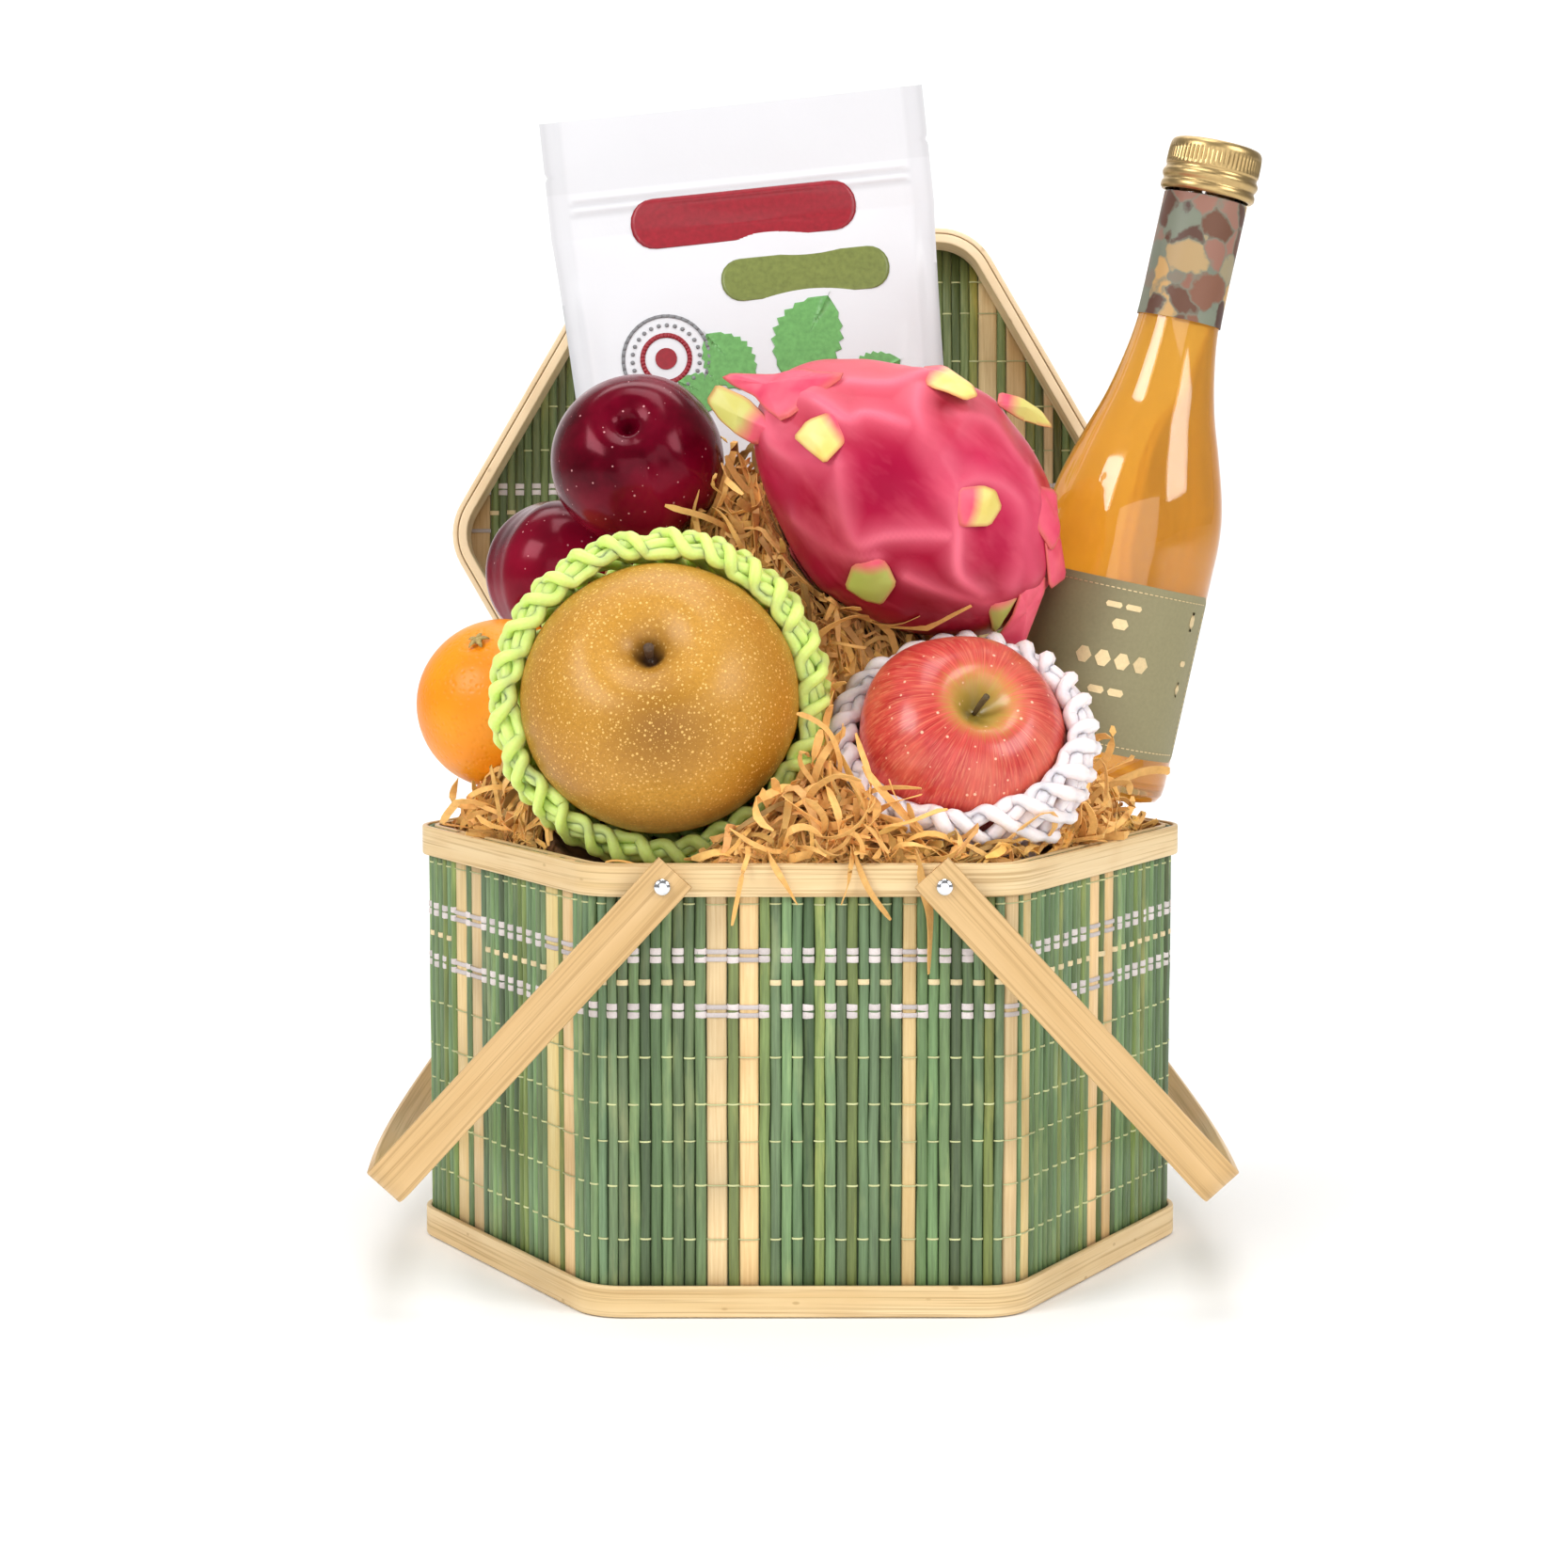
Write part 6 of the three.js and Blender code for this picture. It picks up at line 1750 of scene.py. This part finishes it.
def build_pouch():
    matrix = pouch_frame()
    film = pouch_film().moved(matrix)
    film_look = look("pouch_film", make_film)
    grow_piece("pouch_film", film, film_look, ["pouch"], sharp=70)

    red, olive, ring, leaves = Soup(), Soup(), Soup(), Soup()
    red.add(*pouch_print(pill(*RED_BAR)))
    olive.add(*pouch_print(pill(*OLIVE_BAR)))
    mark_x, mark_down = MARK_AT
    for outer, inner in MARK_RINGS:
        for k in range(40):
            a0, a1 = 2 * math.pi * k / 40, 2 * math.pi * (k + 1) / 40
            quad = [(mark_x + r * math.cos(a), mark_down + r * math.sin(a))
                    for r, a in ((inner, a0), (outer, a0), (outer, a1), (inner, a1))]
            (red if inner < 0.01 else ring).add(*pouch_print(quad, 2))
    red.add(*pouch_print(pill(mark_x, mark_down, 0.009, 0.009, 0.0044)))
    for k in range(26):
        a = 2 * math.pi * k / 26
        x, down = mark_x + MARK_DOTS * math.cos(a), mark_down + MARK_DOTS * math.sin(a)
        ring.add(*pouch_print(pill(x, down, 0.0017, 0.0017, 0.0008), 2))
    for x, down, long, wide, turn in LEAVES:
        leaves.add(*pouch_print(leaf(x, down, long, wide, turn)))
    prints = (("red_print", red, (0.33, 0.008, 0.02)), ("olive_print", olive, (0.2, 0.24, 0.055)),
              ("ring_print", ring, (0.24, 0.24, 0.25)), ("leaf_print", leaves, (0.16, 0.42, 0.12)))
    for name, soup, color in prints:
        ink = look(name, make_plain, color, 0.4, 0.0, 500, 0.25)
        grow_piece(f"pouch_{name}", soup.moved(matrix), ink)


# Stage: a pale sweep, soft lights and the camera of the photograph

# The camera: focal length and width of the picture in its pixels, place, and angles in degrees
CAMERA = {"focal": 3365.309, "pixels": 1667, "at": (-0.010229, -1.240695, 0.303013), "down": 5.709,
          "turn": -0.177}
# Width of its sensor in millimetres
SENSOR = 36
# The sweep: half its width, front edge, where it bends up, radius of the bend, back and top
SWEEP = {"half": 5.0, "front": -3.0, "bend": 2.2, "radius": 0.8, "back": 3.0, "top": 4.0}


def build_stage():
    r = SWEEP["radius"]
    line = [(SWEEP["front"], 0)]
    line += [(SWEEP["bend"] + r * math.sin(a), r - r * math.cos(a)) for a in np.linspace(0, math.pi / 2, 14)]
    line.append((SWEEP["back"], SWEEP["top"]))
    points = [(x, y, z) for y, z in line for x in (-SWEEP["half"], SWEEP["half"])]
    mesh = bpy.data.meshes.new("studio_sweep")
    mesh.from_pydata(points, [], [(2 * i, 2 * i + 1, 2 * i + 3, 2 * i + 2) for i in range(len(line) - 1)])
    mesh.shade_smooth()
    paint = Look("studio_white", 0.7)
    speckle = paint.noise(paint.place(), 3.0, 2)
    white = chosen("floor")
    paint.set(Base_Color=paint.blend(speckle, tuple(c * 0.99 for c in white), white))
    mesh.materials.append(paint.material)
    sweep_floor = bpy.data.objects.new("studio_sweep", mesh)
    sweep_floor.location.z = -0.0004
    bpy.context.scene.collection.objects.link(sweep_floor)
    sweep_floor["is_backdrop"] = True
    for name, spot, size, power, aim in (
        ("key_light", (-1.35, -1.05, 1.35), 0.9, 23, (0, 0, 0.2)),
        ("fill_light", (1.35, -1.0, 1.15), 0.9, 17, (0, 0, 0.2)),
        ("low_light", (0.1, -1.7, 0.1), 1.7, 14, (0, 0, 0.2)),
        ("top_light", (0, -0.2, 2.0), 0.8, 10, (0, 0, 0.2)),
        ("backdrop_light", (0, 1.3, 2.6), 2.2, 60, (0, 3.0, 0.9)),
    ):
        lamp = bpy.data.lights.new(name, "AREA")
        lamp.size, lamp.energy = size, power
        light = bpy.data.objects.new(name, lamp)
        light.location = spot
        light.rotation_euler = (Vector(aim) - Vector(spot)).to_track_quat("-Z", "Y").to_euler()
        bpy.context.scene.collection.objects.link(light)
    world = bpy.data.worlds.new("studio_air")
    world.use_nodes = True
    air = world.node_tree.nodes["Background"].inputs
    air["Color"].default_value = (1, 1, 1, 1)
    air["Strength"].default_value = 0.26
    bpy.context.scene.world = world
    lens = bpy.data.cameras.new("photo_camera")
    lens.sensor_width = SENSOR
    lens.lens = SENSOR * CAMERA["focal"] / CAMERA["pixels"]
    camera = bpy.data.objects.new("photo_camera", lens)
    camera.location = CAMERA["at"]
    camera.rotation_euler = (math.radians(90 - CAMERA["down"]), 0, math.radians(CAMERA["turn"]))
    bpy.context.scene.collection.objects.link(camera)
    bpy.context.scene.camera = camera
    bpy.context.scene.view_settings.view_transform = "Standard"


# The add-on: values to change, one operator for each group of pieces, and a panel that lists them

def color_value(name, description, default):
    return bpy.props.FloatVectorProperty(name=name, description=description, subtype="COLOR", size=3,
                                         min=0, max=1, default=default)


class HamperSizes(bpy.types.PropertyGroup):
    slat_pitch: bpy.props.FloatProperty(
        name="Slat pitch", description="Distance from slat to slat round the wall",
        default=0.00385, min=0.002, max=0.01, unit="LENGTH", precision=5)
    shreds: bpy.props.IntProperty(
        name="Shreds", description="Strips of wood in the front half of the filling",
        default=1700, min=100, max=2200)
    pear_strands: bpy.props.IntProperty(
        name="Pear net strands", description="Foam strands round the pear", default=32, min=12, max=80)
    apple_strands: bpy.props.IntProperty(
        name="Apple net strands", description="Foam strands round the apple", default=25, min=12, max=80)


class HamperColors(bpy.types.PropertyGroup):
    green_slat: color_value("Green slat", "Dyed slats of the wall", (0.195, 0.305, 0.135))
    shred: color_value("Shreds", "Wood shreds in full light", (0.92, 0.53, 0.17))
    green_foam: color_value("Green foam", "Net round the pear", (0.66, 0.86, 0.22))
    pink_foam: color_value("Pink foam", "Net round the apple", (1.0, 0.82, 0.8))
    drink: color_value("Drink", "Drink in the bottle's body", (0.9, 0.42, 0.03))
    cap: color_value("Cap", "Metal cap of the bottle", (0.55, 0.385, 0.17))
    label: color_value("Label", "Paper of the bottle's label", (0.275, 0.245, 0.125))
    pouch: color_value("Pouch", "Film of the pouch", (0.725, 0.725, 0.74))
    floor: color_value("Floor", "Studio floor and backdrop", (0.93, 0.93, 0.93))


def sizes():
    return bpy.context.scene.hamper_sizes


def chosen(name):
    """A colour as the user has set it."""
    return tuple(getattr(bpy.context.scene.hamper_colors, name))


class Step:
    """What the build steps share: each can be undone in one go"""

    bl_options = {"REGISTER", "UNDO"}


class HAMPER_OT_wall(Step, bpy.types.Operator):
    """Build the slatted wall with its threads"""

    bl_idname = "hamper.wall"
    bl_label = "Slatted wall"

    def execute(self, context):
        build_wall()
        return {"FINISHED"}


class HAMPER_OT_rims(Step, bpy.types.Operator):
    """Build the bamboo bands of rim and base"""

    bl_idname = "hamper.rims"
    bl_label = "Rim and base bands"

    def execute(self, context):
        build_rims()
        return {"FINISHED"}


class HAMPER_OT_handles(Step, bpy.types.Operator):
    """Build both swing handles with their rivets"""

    bl_idname = "hamper.handles"
    bl_label = "Handles and rivets"

    def execute(self, context):
        build_handles()
        return {"FINISHED"}


class HAMPER_OT_lid(Step, bpy.types.Operator):
    """Build the open lid"""

    bl_idname = "hamper.lid"
    bl_label = "Lid"

    def execute(self, context):
        build_lid()
        return {"FINISHED"}


class HAMPER_OT_shreds(Step, bpy.types.Operator):
    """Build the wood shreds"""

    bl_idname = "hamper.shreds"
    bl_label = "Wood shreds"

    def execute(self, context):
        build_shreds()
        return {"FINISHED"}


class HAMPER_OT_fruit(Step, bpy.types.Operator):
    """Build the pear, apple, plums and orange"""

    bl_idname = "hamper.fruit"
    bl_label = "Round fruit"

    def execute(self, context):
        build_fruit()
        return {"FINISHED"}


class HAMPER_OT_dragon_fruit(Step, bpy.types.Operator):
    """Build the dragon fruit with its scales"""

    bl_idname = "hamper.dragon_fruit"
    bl_label = "Dragon fruit"

    def execute(self, context):
        build_dragon_fruit()
        return {"FINISHED"}


class HAMPER_OT_nets(Step, bpy.types.Operator):
    """Build the foam nets round pear and apple"""

    bl_idname = "hamper.nets"
    bl_label = "Foam nets"

    def execute(self, context):
        build_nets()
        return {"FINISHED"}


class HAMPER_OT_bottle(Step, bpy.types.Operator):
    """Build the bottle with drink, cap and labels"""

    bl_idname = "hamper.bottle"
    bl_label = "Bottle"

    def execute(self, context):
        build_bottle()
        return {"FINISHED"}


class HAMPER_OT_pouch(Step, bpy.types.Operator):
    """Build the film pouch with its prints"""

    bl_idname = "hamper.pouch"
    bl_label = "Pouch"

    def execute(self, context):
        build_pouch()
        return {"FINISHED"}


class HAMPER_OT_stage(Step, bpy.types.Operator):
    """Build the floor, lights and camera"""

    bl_idname = "hamper.stage"
    bl_label = "Stage"

    def execute(self, context):
        build_stage()
        return {"FINISHED"}


# In the order in which they are built
STEPS = (HAMPER_OT_stage, HAMPER_OT_wall, HAMPER_OT_rims, HAMPER_OT_handles, HAMPER_OT_lid, HAMPER_OT_shreds,
         HAMPER_OT_fruit, HAMPER_OT_dragon_fruit, HAMPER_OT_nets, HAMPER_OT_bottle, HAMPER_OT_pouch)


class HAMPER_PT_panel(bpy.types.Panel):
    """Lists the hamper's values and its build steps"""

    bl_label = "Fruit hamper"
    bl_idname = "HAMPER_PT_panel"
    bl_space_type = "VIEW_3D"
    bl_region_type = "UI"
    bl_category = "Hamper"

    def draw(self, context):
        for group in (context.scene.hamper_sizes, context.scene.hamper_colors):
            box = self.layout.box()
            for name in group.__annotations__:
                box.prop(group, name)
        for step in STEPS:
            self.layout.operator(step.bl_idname)


CLASSES = (HamperSizes, HamperColors, *STEPS, HAMPER_PT_panel)


def register():
    for item in CLASSES:
        bpy.utils.register_class(item)
    bpy.types.Scene.hamper_sizes = bpy.props.PointerProperty(type=HamperSizes)
    bpy.types.Scene.hamper_colors = bpy.props.PointerProperty(type=HamperColors)


def unregister():
    del bpy.types.Scene.hamper_colors
    del bpy.types.Scene.hamper_sizes
    for item in reversed(CLASSES):
        bpy.utils.unregister_class(item)


def main():
    register()
    for step in STEPS:
        group, name = step.bl_idname.split(".")
        getattr(getattr(bpy.ops, group), name)()
    boxes = {"cad": CAD_BOX, "visual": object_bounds()}
    boxes = {name: [[round(c, 5) for c in corner] for corner in box] for name, box in boxes.items()}


if __name__ == "__main__":
    main()
